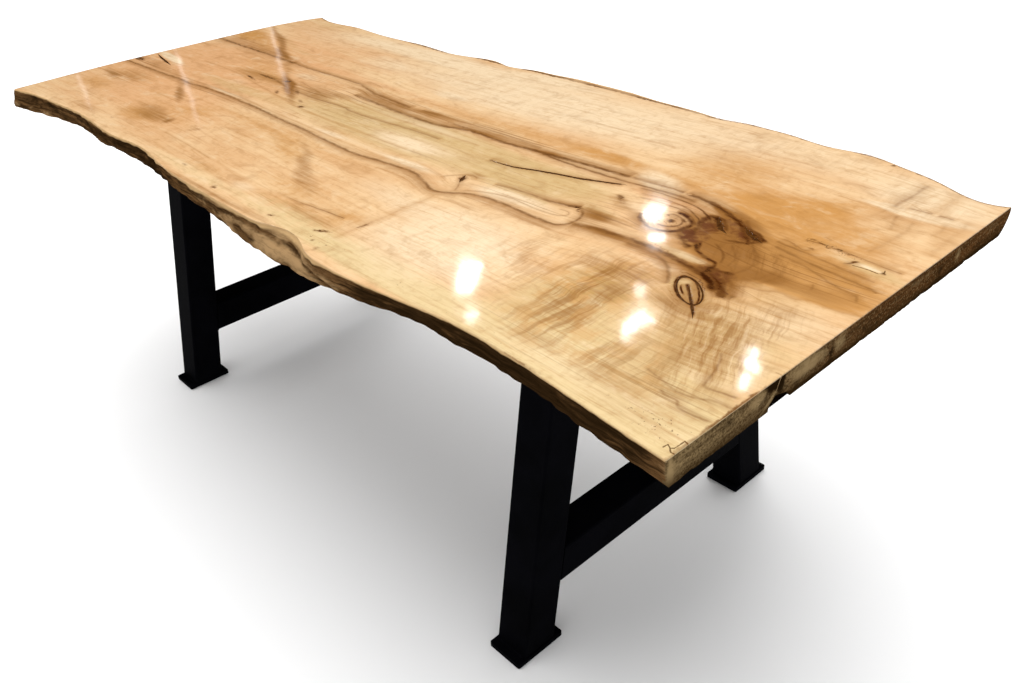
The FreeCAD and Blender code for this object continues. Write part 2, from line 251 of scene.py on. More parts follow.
def makeSpecks():           # small dark flecks of spalting and pores
    group, given, result = newGroup("darkSpecks", ["Vector"], ["Size", "Amount"], ["Mask"])
    fine = noiseAt(group, given["Vector"], given["Size"], 2, 0.5, 0.4)
    patch = noiseAt(group, given["Vector"], times(group, given["Size"], 0.13), 2)
    low = timesPlus(group, given["Amount"], -0.24, 0.95)
    spread = calc(group, "SUBTRACT", timesPlus(group, patch, 0.28, fine), low)
    feed(group, result, {"Mask": ramp(group, spread, 0.0, 0.05)})
    return group


def makeGrainLine():
    # one stored dark line: its signed distance in half widths, its darkness and the shade's side
    results = ["Deep", "Core", "Halo", "Warm"]
    group, given, result = newGroup("grainLine", ["Line"], ["Wobble", "Broken"], results)
    away, dark, lean = parted(group, given["Line"])
    wobbly = calc(group, "ADD", away, timesPlus(group, given["Wobble"], 2.0, -1.0))
    distance = calc(group, "ABSOLUTE", wobbly)
    breaks = ramp(group, given["Broken"], 0.30, 0.62, 0.45, 1.0)
    strength = times(group, times(group, dark, dark), breaks)
    core = times(group, ramp(group, distance, 0.0, 1.6, 1.0, 0.0), strength, clamp=True)
    around = times(group, dark, ramp(group, times(group, wobbly, lean), -0.6, 1.0, 0.40, 1.0))
    halo = times(group, ramp(group, distance, -1.0, 7.0, 0.95, 0.0), around, clamp=True)
    weak = ramp(group, dark, 0.60, 0.42)
    kept = timesPlus(group, weak, -0.5, 1.0)
    feed(group, result, {
        "Deep": times(group, core, ramp(group, dark, 0.70, 1.05)),
        "Core": times(group, core, kept),
        "Halo": times(group, halo, kept),
        "Warm": times(group, halo, weak),
    })
    return group


def makeStroke():           # distance to a straight piece of a pen-thin line on the top
    group, given, result = newGroup("strokeDistance", ["Vector", "Start", "Run"], [], ["Distance"])
    gap = vectorCalc(group, "SUBTRACT", given["Vector"], given["Start"])
    flat = vectorCalc(group, "MULTIPLY", gap, (1, 1, 0))
    along = vectorCalc(group, "DOT_PRODUCT", flat, given["Run"])
    square = vectorCalc(group, "DOT_PRODUCT", given["Run"], given["Run"])
    share = calc(group, "DIVIDE", along, square, clamp=True)
    scaling = {0: given["Run"], "Scale": share}
    passed = put(group, "ShaderNodeVectorMath", scaling, operation="SCALE").outputs[0]
    feed(group, result, {"Distance": vectorCalc(group, "DISTANCE", flat, passed)})
    return group


woodGrain = makeWoodGrain()
curlyFigure = makeCurlyFigure()
darkSpecks = makeSpecks()
grainLine = makeGrainLine()
strokeDistance = makeStroke()
print("shared node groups built")


# Slab shape

slab = {
    "columns": 384,                 # squares along the top
    "rows": 180,                    # squares across it
    "crowdRight": 0.45,             # how much finer they get towards the knots' end
    "crowdMiddle": 0.45,            # and towards the middle of the width
    "nearLeftCorner": -1.0622,      # where the live edges meet the bowed left end
    "farLeftCorner": -1.0469,
    "rim": 0.0015,                  # radius of the eased upper edge
    "rimSteps": 3,
    "drops": (0.0025, 0.004, 0.006, 0.0085, 0.0115, 0.0145, 0.018, 0.0215,
              0.025, 0.029, 0.033, 0.037, 0.0405, 0.0428, 0.044),
    "lump": 0.0042,                 # how far the live edges wander in and out of the smooth solid
    "knob": 0.0034,
    "ridge": 0.0011,
    "reliefStart": 0.007,           # how far under the rim the edges' relief is in full
    "reliefEnd": 0.03,              # and how far from the slab's ends
    "endWear": 0.0024,              # how far the sawn end's lower edge is worn back
    "endWearTop": 0.034,            # how far under the top the wear starts
    "endWearRamp": 0.008,
    "notchMiddle": -0.235,          # the wear stays clear of the bark's notch
    "notchReach": 0.075,
    "notchRamp": 0.04,
    "coatWaves": ((9.0, 0.00016), (27.0, 0.00004)),     # how many a metre, and how high
    "pocketRise": 0.004,            # how far the cutting shapes stand over the top
    "insertRadius": 0.006,
    "insertHole": 0.0063,           # radius of the inserts' holes
    "insertHoleDepth": 0.030,
    "crackWidth": 0.0032,           # crack in the sawn end, from the top down to the notch
    "crackDepth": 0.009,
    "crackTop": -0.2605,
    "crackFoot": -0.2740,
    "crackDrop": 0.026,
}

# Grooves and ridges that run along the near live edge: how far out, how wide, and their
# places along the slab and below its top
edgeFolds = [
    (-4, 2.8, [
        (0, 18), (60, 12.5), (115, 10.5), (150, 11.5), (194, 15), (230, 16.5), (262, 15), (290, 16),
        (322, 19), (352, 24), (376, 30), (400, 39)]),
    (3, 6, [(30, 27), (115, 17.5), (170, 20.5), (207, 23), (250, 24), (290, 24.5), (325, 29), (345, 38)]),
    (-2.2, 3, [(-980, 26), (-900, 14), (-780, 12), (-660, 14), (-520, 12), (-420, 10), (-300, 12)]),
    (4.5, 10, [(-1090, 34), (-960, 36), (-840, 40)]),
    (-2, 2.4, [(440, 20), (520, 16), (620, 19), (740, 15), (860, 19), (1000, 15)]),
    (-1.8, 2.2, [(600, 33), (720, 29), (840, 33), (980, 30)]),
]


def inMetres(sizes):        # the tables are in millimetres
    return np.array(sizes, float) / 1000


def smoothPath(points, steps=10):       # a Catmull-Rom curve through the points
    given = np.array(points, float)
    made = []
    for index in range(len(given) - 1):
        before = given[max(index - 1, 0)]
        start, end = given[index], given[index + 1]
        after = given[min(index + 2, len(given) - 1)]
        for step in range(steps):
            t = step / steps
            bend = 2 * before - 5 * start + 4 * end - after
            twist = 3 * start - before - 3 * end + after
            made.append(start + 0.5 * t * (end - before + t * (bend + t * twist)))
    made.append(given[-1])
    return np.array(made)


def distanceToPath(spots, path, reach):
    # signed distance, positive on the left of the path's run, and the share of the path passed
    signed = np.full(len(spots), reach * 1.0)
    share = np.zeros(len(spots))
    inside = (spots > path.min(0) - reach) & (spots < path.max(0) + reach)
    close = np.flatnonzero(inside.all(1))
    near = spots[close]
    nearest = np.full(len(near), reach * 1.0)
    for index in range(len(path) - 1):
        run = path[index + 1] - path[index]
        along = np.clip((near - path[index]) @ run / (run @ run), 0, 1)
        gap = near - path[index] - along[:, None] * run
        distance = np.hypot(gap[:, 0], gap[:, 1])
        closer = distance < nearest
        nearest[closer] = distance[closer]
        side = np.where(run[0] * gap[:, 1] - run[1] * gap[:, 0] < 0, -1, 1)
        signed[close[closer]] = (distance * side)[closer]
        share[close[closer]] = ((index + along) / (len(path) - 1))[closer]
    return signed, share


slabSkin = BVHTree.FromPolygons([vertex.co for vertex in nodes["slab_top"].data.vertices],
                                [face.vertices for face in nodes["slab_top"].data.polygons])
outside = 2 * slabHigh.x
cornerStep = 0.0003     # rays are cast this far inside the corners
topStep = 0.0002        # and this far under the top


def hitAlong(start, direction):
    return slabSkin.ray_cast(Vector(start), Vector(direction))[0]


def crowded(count, towardsEnd, towardsMiddle):
    shares = np.arange(count + 1) / count
    middle = towardsMiddle * np.sin(shares * 2 * math.pi) / (2 * math.pi)
    return shares + towardsEnd * shares * (1 - shares) + middle


alongShares = crowded(slab["columns"], slab["crowdRight"], 0)
acrossShares = crowded(slab["rows"], 0, slab["crowdMiddle"])


def outlineAt(height):      # the solid's outline at a height, as its four sides
    sides = {}
    right = slabHigh.x
    for name, side, left in (("near", -1, slab["nearLeftCorner"]), ("far", 1, slab["farLeftCorner"])):
        places = []
        for share in alongShares:
            x = left + (right - left) * share
            castX = min(max(x, left + cornerStep), right - cornerStep)
            places.append((x, hitAlong((castX, side * outside, height), (0, -side, 0)).y))
        sides[name] = np.array(places)
    lowY, highY = sides["near"][0, 1], sides["far"][0, 1]
    places = []
    for share in acrossShares:
        y = lowY + (highY - lowY) * share
        castY = min(max(y, lowY + cornerStep), highY - cornerStep)
        places.append((hitAlong((-outside, castY, height), (1, 0, 0)).x, y))
    sides["left"] = np.array(places)
    sides["left"][0], sides["left"][-1] = sides["near"][0], sides["far"][0]
    lowY, highY = sides["near"][-1, 1], sides["far"][-1, 1]
    sides["right"] = np.array([(right, lowY + (highY - lowY) * share) for share in acrossShares])
    return sides


def pulledIn(sides, amount):
    steps = {"near": (0, 1), "far": (0, -1), "left": (1, 0), "right": (-1, 0)}
    moved = {name: places + np.array(steps[name]) * amount for name, places in sides.items()}
    for name in ("near", "far"):
        moved[name][0, 0] += amount
        moved[name][-1, 0] -= amount
    for name, end in (("left", 0), ("right", -1)):
        moved[name][0], moved[name][-1] = moved["near"][end], moved["far"][end]
    return moved


foldPaths = [(*inMetres(sizes), smoothPath(inMetres(points), 24)) for *sizes, points in edgeFolds]


def foldAt(place, drop):
    out = 0
    for amount, width, path in foldPaths:
        gaps = path - np.array((place, drop))
        gap = np.sqrt((gaps[:, 0] * 0.35) ** 2 + gaps[:, 1] ** 2).min()
        out += amount * math.exp(-(gap / width) ** 2)
    return out


def softNoise(*place):
    return noise.noise(Vector(place))


def edgeRelief(side, place, drop):
    # lumps, knobs and fibres of the live edge, none at its upper rim
    rise = min(max((drop - slab["rim"]) / slab["reliefStart"], 0), 1)
    lump = softNoise(place * 11, drop * 26, side * 5) * slab["lump"]
    knob = softNoise(place * 46, drop * 60, side * 9 + 3) * slab["knob"]
    ridge = softNoise(place * 22, drop * 420, side * 3 + 7) * slab["ridge"]
    fold = foldAt(place, drop) if side < 0 else 0
    cornerGap = min(slabHigh.x - abs(place), slab["reliefEnd"]) / slab["reliefEnd"]
    return (lump + knob + ridge) * rise * max(cornerGap, 0) + fold * rise


def coatWave(x, y):
    return sum(softNoise(x * size, y * size * 1.4, size) * height for size, height in slab["coatWaves"])


def endWear(y, drop):       # how far the sawn end is worn back at a place
    worn = softNoise(y * 55, drop * 30, 4) + 0.5 * softNoise(y * 170, drop * 60, 9)
    lower = min(max((drop - slab["endWearTop"]) / slab["endWearRamp"], 0), 1)
    fromNotch = abs(y - slab["notchMiddle"]) - slab["notchReach"]
    return max(worn, 0) * slab["endWear"] * lower * min(max(fromNotch / slab["notchRamp"], 0), 1)


def placeOnSide(vertex, column, row, drop, sides, relief):
    if row == 0 or row == slab["rows"]:
        name, side = ("near", -1) if row == 0 else ("far", 1)
        x, y = sides[name][column]
        if relief:
            y += side * edgeRelief(side, x, drop)
    elif column == 0:
        x, y = sides["left"][row]
        if relief:
            x -= edgeRelief(0, y, drop) * 0.35
    else:
        x, y = sides["right"][row]
        x -= endWear(y, drop)
    vertex.co = (x, y, topLevel - drop)


def layTop(bm, columnLayer, rowLayer, sides):
    # fits the flat grid between the four sides, and raises the coat's waves
    corners = [sides["near"][0], sides["near"][-1], sides["far"][0], sides["far"][-1]]
    for vertex in bm.verts:
        column = round((vertex.co.x + 0.5) * slab["columns"])
        row = round((vertex.co.y + 0.5) * slab["rows"])
        vertex[columnLayer], vertex[rowLayer] = column, row
        s, t = alongShares[column], acrossShares[row]
        between = (1 - t) * sides["near"][column] + t * sides["far"][column]
        between = between + (1 - s) * sides["left"][row] + s * sides["right"][row]
        flat = (1 - t) * ((1 - s) * corners[0] + s * corners[1]) + t * ((1 - s) * corners[2] + s * corners[3])
        x, y = between - flat
        vertex.co = (x, y, topLevel + coatWave(x, y))


def buildSlabBody():
    bm = bmesh.new()
    columnLayer = bm.verts.layers.int.new("column")
    rowLayer = bm.verts.layers.int.new("row")
    bmesh.ops.create_grid(bm, x_segments=slab["columns"], y_segments=slab["rows"], size=0.5)
    rim = slab["rim"]
    layTop(bm, columnLayer, rowLayer, pulledIn(outlineAt(topLevel - topStep), rim))
    edge = [e for e in bm.edges if e.is_boundary]
    turns = [math.pi / 2 * step / slab["rimSteps"] for step in range(1, slab["rimSteps"] + 1)]
    levels = [(rim * (1 - math.cos(turn)), rim * (1 - math.sin(turn)), False) for turn in turns]
    levels += [(drop, 0, True) for drop in slab["drops"]]
    for drop, inset, relief in levels:
        height = min(max(topLevel - drop, slabLow.z + 0.0001), topLevel - topStep)
        sides = pulledIn(outlineAt(height), inset)
        made = bmesh.ops.extrude_edge_only(bm, edges=edge)["geom"]
        fresh = {item for item in made if isinstance(item, bmesh.types.BMVert)}
        for vertex in fresh:
            placeOnSide(vertex, vertex[columnLayer], vertex[rowLayer], drop, sides, relief)
        edge = [item for item in made if isinstance(item, bmesh.types.BMEdge) and set(item.verts) <= fresh]
    bmesh.ops.contextual_create(bm, geom=edge)
    return finishedMesh(bm, "slabBody")


def finishedMesh(bm, name):
    bmesh.ops.recalc_face_normals(bm, faces=bm.faces)
    mesh = bpy.data.meshes.new(name)
    bm.to_mesh(mesh)
    bm.free()
    return mesh


def raiseCutters(bm):       # the pockets' tools stand over the faces that they cut
    rise = slab["pocketRise"]
    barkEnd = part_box("bark_inclusion")[1].x
    for vertex in bm.verts:
        if vertex.co.z > topLevel - 0.0001:
            vertex.co.z += rise
        if vertex.co.x > barkEnd - 0.0001:
            vertex.co.x = slabHigh.x + rise
        if vertex.co.z < slabLow.z + 0.0001:
            vertex.co.z -= rise


def addHoleCutters(bm, name):       # six under each frame's plate
    low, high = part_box(name)
    radius = slab["insertRadius"]
    hole = {"radius1": slab["insertHole"], "radius2": slab["insertHole"], "segments": 28, "cap_ends": True}
    depth = slab["insertHoleDepth"] + slab["pocketRise"]
    for x in (low.x + radius, high.x - radius):
        for y in (low.y + radius, (low.y + high.y) / 2, high.y - radius):
            place = Matrix.Translation((x, y, low.z - slab["pocketRise"] + depth / 2))
            bmesh.ops.create_cone(bm, depth=depth, matrix=place, **hole)


def addCrackCutter(bm):     # a wedge that narrows inwards
    rise = slab["pocketRise"]
    wedge = []
    for x, share in ((slabHigh.x + rise, 1.0), (slabHigh.x - slab["crackDepth"], 0.1)):
        for y, z in ((slab["crackTop"], topLevel + rise), (slab["crackFoot"], topLevel - slab["crackDrop"])):
            for side in (-1, 1):
                wedge.append(bm.verts.new((x, y + side * slab["crackWidth"] / 2 * share, z)))
    for corners in ((0, 1, 3, 2), (4, 6, 7, 5), (0, 4, 5, 1), (2, 3, 7, 6), (0, 2, 6, 4), (1, 5, 7, 3)):
        bm.faces.new([wedge[corner] for corner in corners])


def buildCutters():     # the pockets of the fills, the bark's notch, the end crack and the inserts' holes
    bm = bmesh.new()
    pockets = ("crack_fill", "end_void_fill", "knot_ring_fill", "bark_pocket_fills", "small_knot_fill",
               "bark_inclusion")
    for name in pockets:
        bm.from_mesh(nodes[name].data)
    bmesh.ops.remove_doubles(bm, verts=bm.verts, dist=0.00001)
    raiseCutters(bm)
    for name in ("left_inserts", "right_inserts"):
        addHoleCutters(bm, name)
    addCrackCutter(bm)
    return finishedMesh(bm, "cutters")


def cutSlab(body, cutters):
    piece = bpy.data.objects.new("slabBody", body)
    tool = bpy.data.objects.new("cutters", cutters)
    for item in (piece, tool):
        bpy.context.scene.collection.objects.link(item)
    cut = piece.modifiers.new("pockets", "BOOLEAN")
    cut.operation = "DIFFERENCE"
    cut.object = tool
    cut.solver = "EXACT"
    evaluated = piece.evaluated_get(bpy.context.evaluated_depsgraph_get())
    mesh = bpy.data.meshes.new_from_object(evaluated)
    for item in (piece, tool):
        bpy.data.objects.remove(item)
    return mesh


slabMesh = cutSlab(buildSlabBody(), buildCutters())
print("slab cut:", len(slabMesh.vertices), "vertices")


# Slab figure: what the wood shows on its top, stored on the mesh for the material

# Lines that the grain follows across the whole slab, with the grain value that each one has
grainGuides = [
    (-470, [
        (-1090, -462), (-800, -452), (-350, -452), (100, -466), (450, -470), (750, -462), (1100, -478)]),
    (-310, [(-1090, -310), (-500, -305), (100, -320), (500, -318), (900, -330), (1100, -320)]),
    (-140, [
        (-1100, -156), (-728, -147), (-478, -138), (-178, -152), (22, -161), (202, -149), (302, -172),
        (362, -148), (572, -136), (722, -100), (900, -125), (1100, -120)]),
    (-20, [
        (-1090, -55), (-800, -40), (-378, -18), (-28, -6), (400, -20), (720, 0), (900, -25), (1100, -20)]),
    (100, [
        (-1090, 129), (-878, 124), (-578, 117), (-328, 116), (-228, 92), (22, 79), (322, 81), (622, 99),
        (722, 92), (850, 55), (1100, 52)]),
    (260, [(-1090, 270), (-500, 262), (0, 250), (400, 262), (700, 268), (1100, 250)]),
    (460, [(-1090, 456), (-500, 440), (0, 460), (500, 462), (850, 440), (1100, 392)]),
]

# Knots: middle, half length, half width, turn in degrees
knots = [
    (704, -4, 46, 38, 0),
    (875, -168, 46, 24, -43),
    (303, -108, 16, 11, -60),
]

# Dark lines: storage layer, half width, side that the brown shade leans to (1 is the left of
# the line's run), darkness at the start and at the end, and the points. Lines whose shades
# would meet are stored in different layers.
lineLayerCount = 6
grainLines = {
    "upper": (0, 5, 1, 0.8, 0.9, [
        (-300, 63), (-250, 60), (-100, 51), (0, 50), (50, 56), (80, 66), (110, 71), (150, 73), (200, 70),
        (250, 73), (300, 79), (360, 83), (430, 88), (500, 94), (540, 97)]),
    "upper veiled": (0, 4.2, 1, 0.7, 0.7, [(530, 96), (580, 99), (620, 101), (668, 103)]),
    "upper right": (0, 5.4, 1, 0.85, 1.1, [
        (655, 103), (690, 101), (713, 98), (738, 90), (760, 81), (791, 66), (813, 53), (841, 38),
        (872, 26)]),
    "upper far left": (4, 5.6, 0, 0.82, 0.8, [(-1120, 130), (-878, 125), (-760, 124), (-650, 120)]),
    "upper left": (1, 3.4, 1, 0.74, 0.76, [
        (-680, 121), (-578, 117), (-378, 121), (-328, 114), (-278, 101), (-228, 95), (-160, 92),
        (-105, 87)]),
    "upper streak": (3, 3.6, 0, 0.6, 0.55, [
        (-80, 94), (0, 95), (70, 99), (150, 102), (220, 101), (310, 97)]),
    "upper branch": (1, 3.6, 0, 0.84, 0.76, [
        (320, 78), (380, 71), (450, 71), (520, 74), (600, 81), (650, 86), (700, 83)]),
    "middle": (2, 2.4, 1, 0.66, 0.6, [
        (-560, 4), (-458, -11), (-350, -15), (-240, -10), (-200, -16), (-100, -13), (0, -5), (110, -1)]),
    "middle low": (3, 1.4, 0, 0.5, 0.45, [
        (-900, -20), (-700, -24), (-520, -50), (-300, -78), (-100, -82), (100, -80)]),
    "middle high": (5, 1.3, 0, 0.45, 0.5, [(-280, 30), (-120, 20), (50, 22), (200, 26)]),
    "middle meeting": (5, 1.3, 0, 0.55, 0.5, [(-500, 40), (-400, 22), (-320, 4)]),
    "lower": (0, 3.8, -1, 0.8, 0.82, [
        (-1120, -157), (-978, -154), (-878, -152), (-778, -146), (-728, -148), (-678, -142), (-578, -139),
        (-478, -138), (-378, -141), (-278, -148), (-178, -152), (-78, -158), (22, -163), (122, -153),
        (202, -149), (242, -158), (280, -172), (305, -178), (332, -168), (362, -148), (422, -136),
        (522, -139), (567, -138), (584, -128), (590, -108)]),
    "lower echo": (2, 1, 0, 0.6, 0.4, [
        (-1120, -132), (-1000, -136), (-900, -139), (-740, -131), (-550, -124), (-300, -132), (-50, -140),
        (150, -136)]),
    "lower right": (1, 5.8, -1, 0.75, 1.05, [
        (590, -116), (622, -108), (660, -102), (740, -97), (800, -103), (850, -116), (880, -126),
        (905, -146)]),
    "lower right echo": (2, 3.4, -1, 0.72, 0.8, [
        (700, -112), (760, -110), (800, -126), (822, -148), (842, -176)]),
    "arc": (2, 3.4, 1, 0.55, 0.95, [
        (365, -90), (385, -84), (422, -79), (472, -77), (510, -74), (545, -64), (562, -56)]),
    "arc inside": (4, 1, 0, 0.6, 0.6, [
        (340, -150), (372, -128), (430, -112), (500, -114), (545, -110), (562, -100), (556, -88),
        (530, -88)]),
    "arc end": (3, 3, 0, 0.85, 0.8, [(558, -62), (578, -76), (588, -96), (590, -120)]),
    "pin streak": (1, 2, 0, 0.7, 0.6, [(288, -90), (302, -110), (322, -136), (336, -160)]),
    "pin bow": (5, 1.2, 0, 0.6, 0.6, [(262, -134), (276, -112), (292, -92), (312, -86), (326, -98)]),
    "crack shade": (3, 3, 0, 0.75, 1, [(262, -12), (330, -8), (380, 8), (430, 22), (490, 40), (552, 62)]),
    "eye bundle a": (2, 2.2, 0, 0.68, 1, [
        (575, 68), (620, 74), (668, 74), (713, 67), (744, 52), (760, 40)]),
    "eye bundle b": (3, 2, 0, 0.65, 0.95, [
        (590, 52), (630, 58), (669, 58), (702, 53), (735, 36), (752, 18)]),
    "eye bundle c": (5, 1.9, 0, 0.6, 0.9, [
        (600, 36), (640, 42), (680, 43), (712, 38), (738, 22), (750, 4)]),
    "eye ring": (4, 4.4, -1, 0.88, 1.05, [
        (650, -6), (657, -20), (672, -33), (697, -43), (724, -38), (740, -22), (744, 0), (735, 17),
        (713, 30), (691, 31)]),
    "eye ring inside": (2, 2.4, 0, 0.75, 0.95, [
        (684, 14), (700, 20), (718, 14), (728, -2), (724, -17), (706, -26), (688, -22)]),
    "eye mark": (3, 3, 0, 0.9, 0.9, [(694, 4), (704, 2), (712, -4), (714, -12)]),
    "eye left tip": (1, 3.4, 0, 0.55, 0.35, [(566, 26), (580, 16), (594, 2), (616, -10), (645, -22)]),
    "pocket fan a": (5, 3.4, 0, 0.9, 0.98, [(744, 62), (772, 57), (790, 40), (803, 20)]),
    "pocket band": (1, 6, 0, 0.95, 0.85, [
        (744, 66), (750, 44), (748, 24), (756, 4), (762, -16), (772, -34)]),
    "pocket edge": (0, 4.4, 0, 0.7, 1.05, [(796, 84), (810, 66), (826, 52), (848, 44), (874, 26)]),
    "pocket low": (2, 4.6, 0, 1.05, 1, [(806, 62), (820, 44), (832, 30), (848, 14), (846, 0)]),
    "leaf top": (4, 2.2, 0, 0.8, 0.7, [(784, 0), (800, 12), (822, 12), (840, 4)]),
    "leaf low": (0, 2.2, 0, 0.7, 0.6, [(784, -2), (800, -12), (824, -10), (842, 0)]),
    "fan a": (5, 3.2, -1, 0.68, 0.58, [(846, 22), (872, -4), (890, -32), (898, -62), (890, -88)]),
    "fan b": (1, 2.6, -1, 0.7, 0.62, [(830, -6), (850, -26), (866, -50), (872, -80)]),
    "fan c": (4, 2.5, 0, 0.8, 0.8, [(806, -20), (830, -34), (850, -56), (858, -76)]),
    "fan d": (2, 3.4, 0, 0.5, 0.5, [(866, 18), (905, 4), (935, -22), (946, -60), (930, -96)]),
    "purple band": (2, 6, 0, 0.72, 1, [(742, -20), (758, -40), (776, -54), (798, -60)]),
    "pocket fan b": (3, 2.4, 0, 0.8, 0.9, [(750, 52), (764, 34), (782, 20), (800, 13)]),
    "pocket hook": (2, 3.4, 0, 1, 0.8, [(862, 28), (850, 12), (832, 2), (812, -4)]),
    "zigzag": (3, 3.6, -1, 0.98, 0.98, [
        (786, -26), (796, -46), (806, -60), (828, -70), (848, -75), (855, -84), (856, -100), (872, -112),
        (892, -124), (906, -142)]),
    "zigzag branch": (5, 3.2, 0, 0.92, 0.8, [(852, -90), (868, -94), (884, -88), (896, -90)]),
    "mass a": (2, 5.8, 0, 0.88, 0.92, [(832, -100), (856, -106), (880, -118), (902, -136), (924, -156)]),
    "mass b": (0, 4.2, 0, 0.85, 0.85, [(860, -98), (882, -106), (898, -120), (906, -140), (918, -166)]),
    "mass c": (1, 4.2, 0, 0.75, 0.6, [(880, -98), (902, -110), (920, -130), (936, -150)]),
    "ring top": (5, 3.6, 0, 0.88, 0.98, [(836, -112), (862, -122), (884, -134), (902, -154)]),
    "ring inside": (3, 1.7, 0, 1.1, 1.1, [(855, -159), (861, -169), (870, -179), (882, -188)]),
    "ring dash": (5, 1.5, 0, 0.9, 1.1, [(875, -156), (880, -162), (886, -169)]),
    "ring split": (4, 2.6, 0, 1, 0.95, [
        (858, -150), (870, -163), (884, -180), (900, -196), (914, -211), (927, -226)]),
    "ring shade": (2, 1.8, 0, 1.05, 1.05, [
        (892, -199), (870, -190), (848, -166), (840, -143), (846, -137), (868, -144), (892, -168),
        (905, -192), (900, -200), (892, -199)]),
    "ring head": (0, 4, 0, 1.05, 1, [(846, -158), (842, -146), (848, -138), (862, -140)]),
    "curl a": (0, 4.2, 0, 0.54, 0.5, [
        (890, 10), (915, -12), (932, -42), (930, -70), (912, -94), (885, -106)]),
    "curl b": (4, 2.8, 0, 0.62, 0.5, [(862, 4), (888, -16), (898, -42), (888, -66)]),
    "curl c": (2, 3, 0, 0.42, 0.36, [(928, 12), (955, -18), (962, -52), (945, -86)]),
    "right a": (1, 3, 0, 0.75, 0.55, [(872, 46), (930, 40), (1000, 30), (1062, 22)]),
    "right b": (3, 3, 0, 0.75, 0.7, [(878, 30), (940, 18), (1000, 8), (1060, 2), (1072, -6)]),
    "right c": (5, 2.8, 0, 0.65, 0.62, [(900, 10), (960, 0), (1020, -22), (1060, -30)]),
    "right d": (4, 2.6, 0, 0.6, 0.6, [(988, -30), (998, -46), (1002, -62)]),
    "right e": (0, 2.6, 0, 0.6, 0.6, [(1050, -18), (1060, -36), (1066, -52)]),
    "boundary": (1, 3, 1, 0.55, 0.45, [
        (905, -128), (925, -108), (955, -100), (972, -90), (1000, -92), (1020, -80), (1060, -82),
        (1100, -74)]),
    "squiggle": (0, 2.6, 0, 0.95, 0.95, [(986, 46), (998, 50), (1003, 60), (1000, 68)]),
    "spalt line": (5, 1.7, 0, 0.72, 0.6, [(905, 78), (940, 82), (985, 80), (1040, 73), (1075, 71)]),
    "spalt line low": (4, 1.5, 0, 0.6, 0.55, [(872, 58), (900, 56), (925, 46), (940, 60)]),
    "near line": (1, 1.6, 0, 0.4, 0.9, [(80, -374), (150, -372), (220, -364), (285, -358)]),
    "near line left": (3, 1, 0, 0.5, 0.5, [(-420, -362), (-300, -366), (-180, -374)]),
    "corner grain a": (2, 2.2, 0, 0.65, 0.72, [
        (995, -384), (1010, -390), (1028, -390), (1040, -400), (1060, -401), (1100, -397)]),
    "corner grain b": (4, 2.2, 0, 0.6, 0.7, [
        (950, -360), (985, -368), (1015, -376), (1045, -370), (1062, -362), (1100, -358)]),
    "corner grain c": (1, 2.4, 0, 0.7, 0.65, [
        (1000, -262), (1018, -300), (1030, -334), (1036, -346), (1060, -342), (1085, -338)]),
    "corner bar a": (3, 5, 0, 0.16, 0.34, [(926, -250), (929, -330), (931, -412)]),
    "corner bar b": (5, 5.6, 0, 0.16, 0.34, [(964, -250), (968, -340), (970, -425)]),
    "far streak a": (1, 3.6, 0, 0.62, 0.58, [(952, 400), (953, 350), (951, 300), (948, 270)]),
    "far streak b": (3, 4, 0, 0.5, 0.3, [(946, 262), (944, 230), (940, 185)]),
    "far streak c": (4, 3.4, 0, 0.6, 0.45, [(969, 258), (980, 225), (992, 185)]),
    "far streak d": (0, 4, 0, 0.5, 0.45, [(1003, 250), (1010, 205), (1008, 150), (999, 95)]),
    "far streak e": (2, 4.6, 0, 0.42, 0.36, [(1010, 400), (1013, 340), (1010, 285)]),
    "far streak f": (5, 3.4, 0, 0.5, 0.45, [(1040, 275), (1050, 240), (1046, 210)]),
    "far bar top": (2, 2, 0, 0.66, 0.74, [(965, 284), (985, 288), (1006, 289), (1030, 290), (1052, 288)]),
    # a faint straight dark line across the grain
    "straight faint line": (5, 2.4, 0, 0.46, 0.4, [(322, -188), (326, -250), (328, -330), (332, -420)]),
    "far streak g": (1, 4.2, 0, 0.42, 0.42, [(1066, 300), (1072, 230), (1076, 140)]),
}

# Pen-thin dark strokes near the corner and beside the pale bar
strokes = [
    [(1072.5, -470.5), (1073.7, -463.4), (1079.2, -466.7), (1083, -464), (1083.7, -456.4),
     (1083.8, -445.8), (1088.5, -447.5)],
    [(1079.2, -466.7), (1081.2, -469), (1085, -472.1), (1088.5, -471.6)],
    [(1006, 50), (1030, 52), (1046, 50), (1052, 56), (1049, 64)],
]
strokeWidth = 1.2

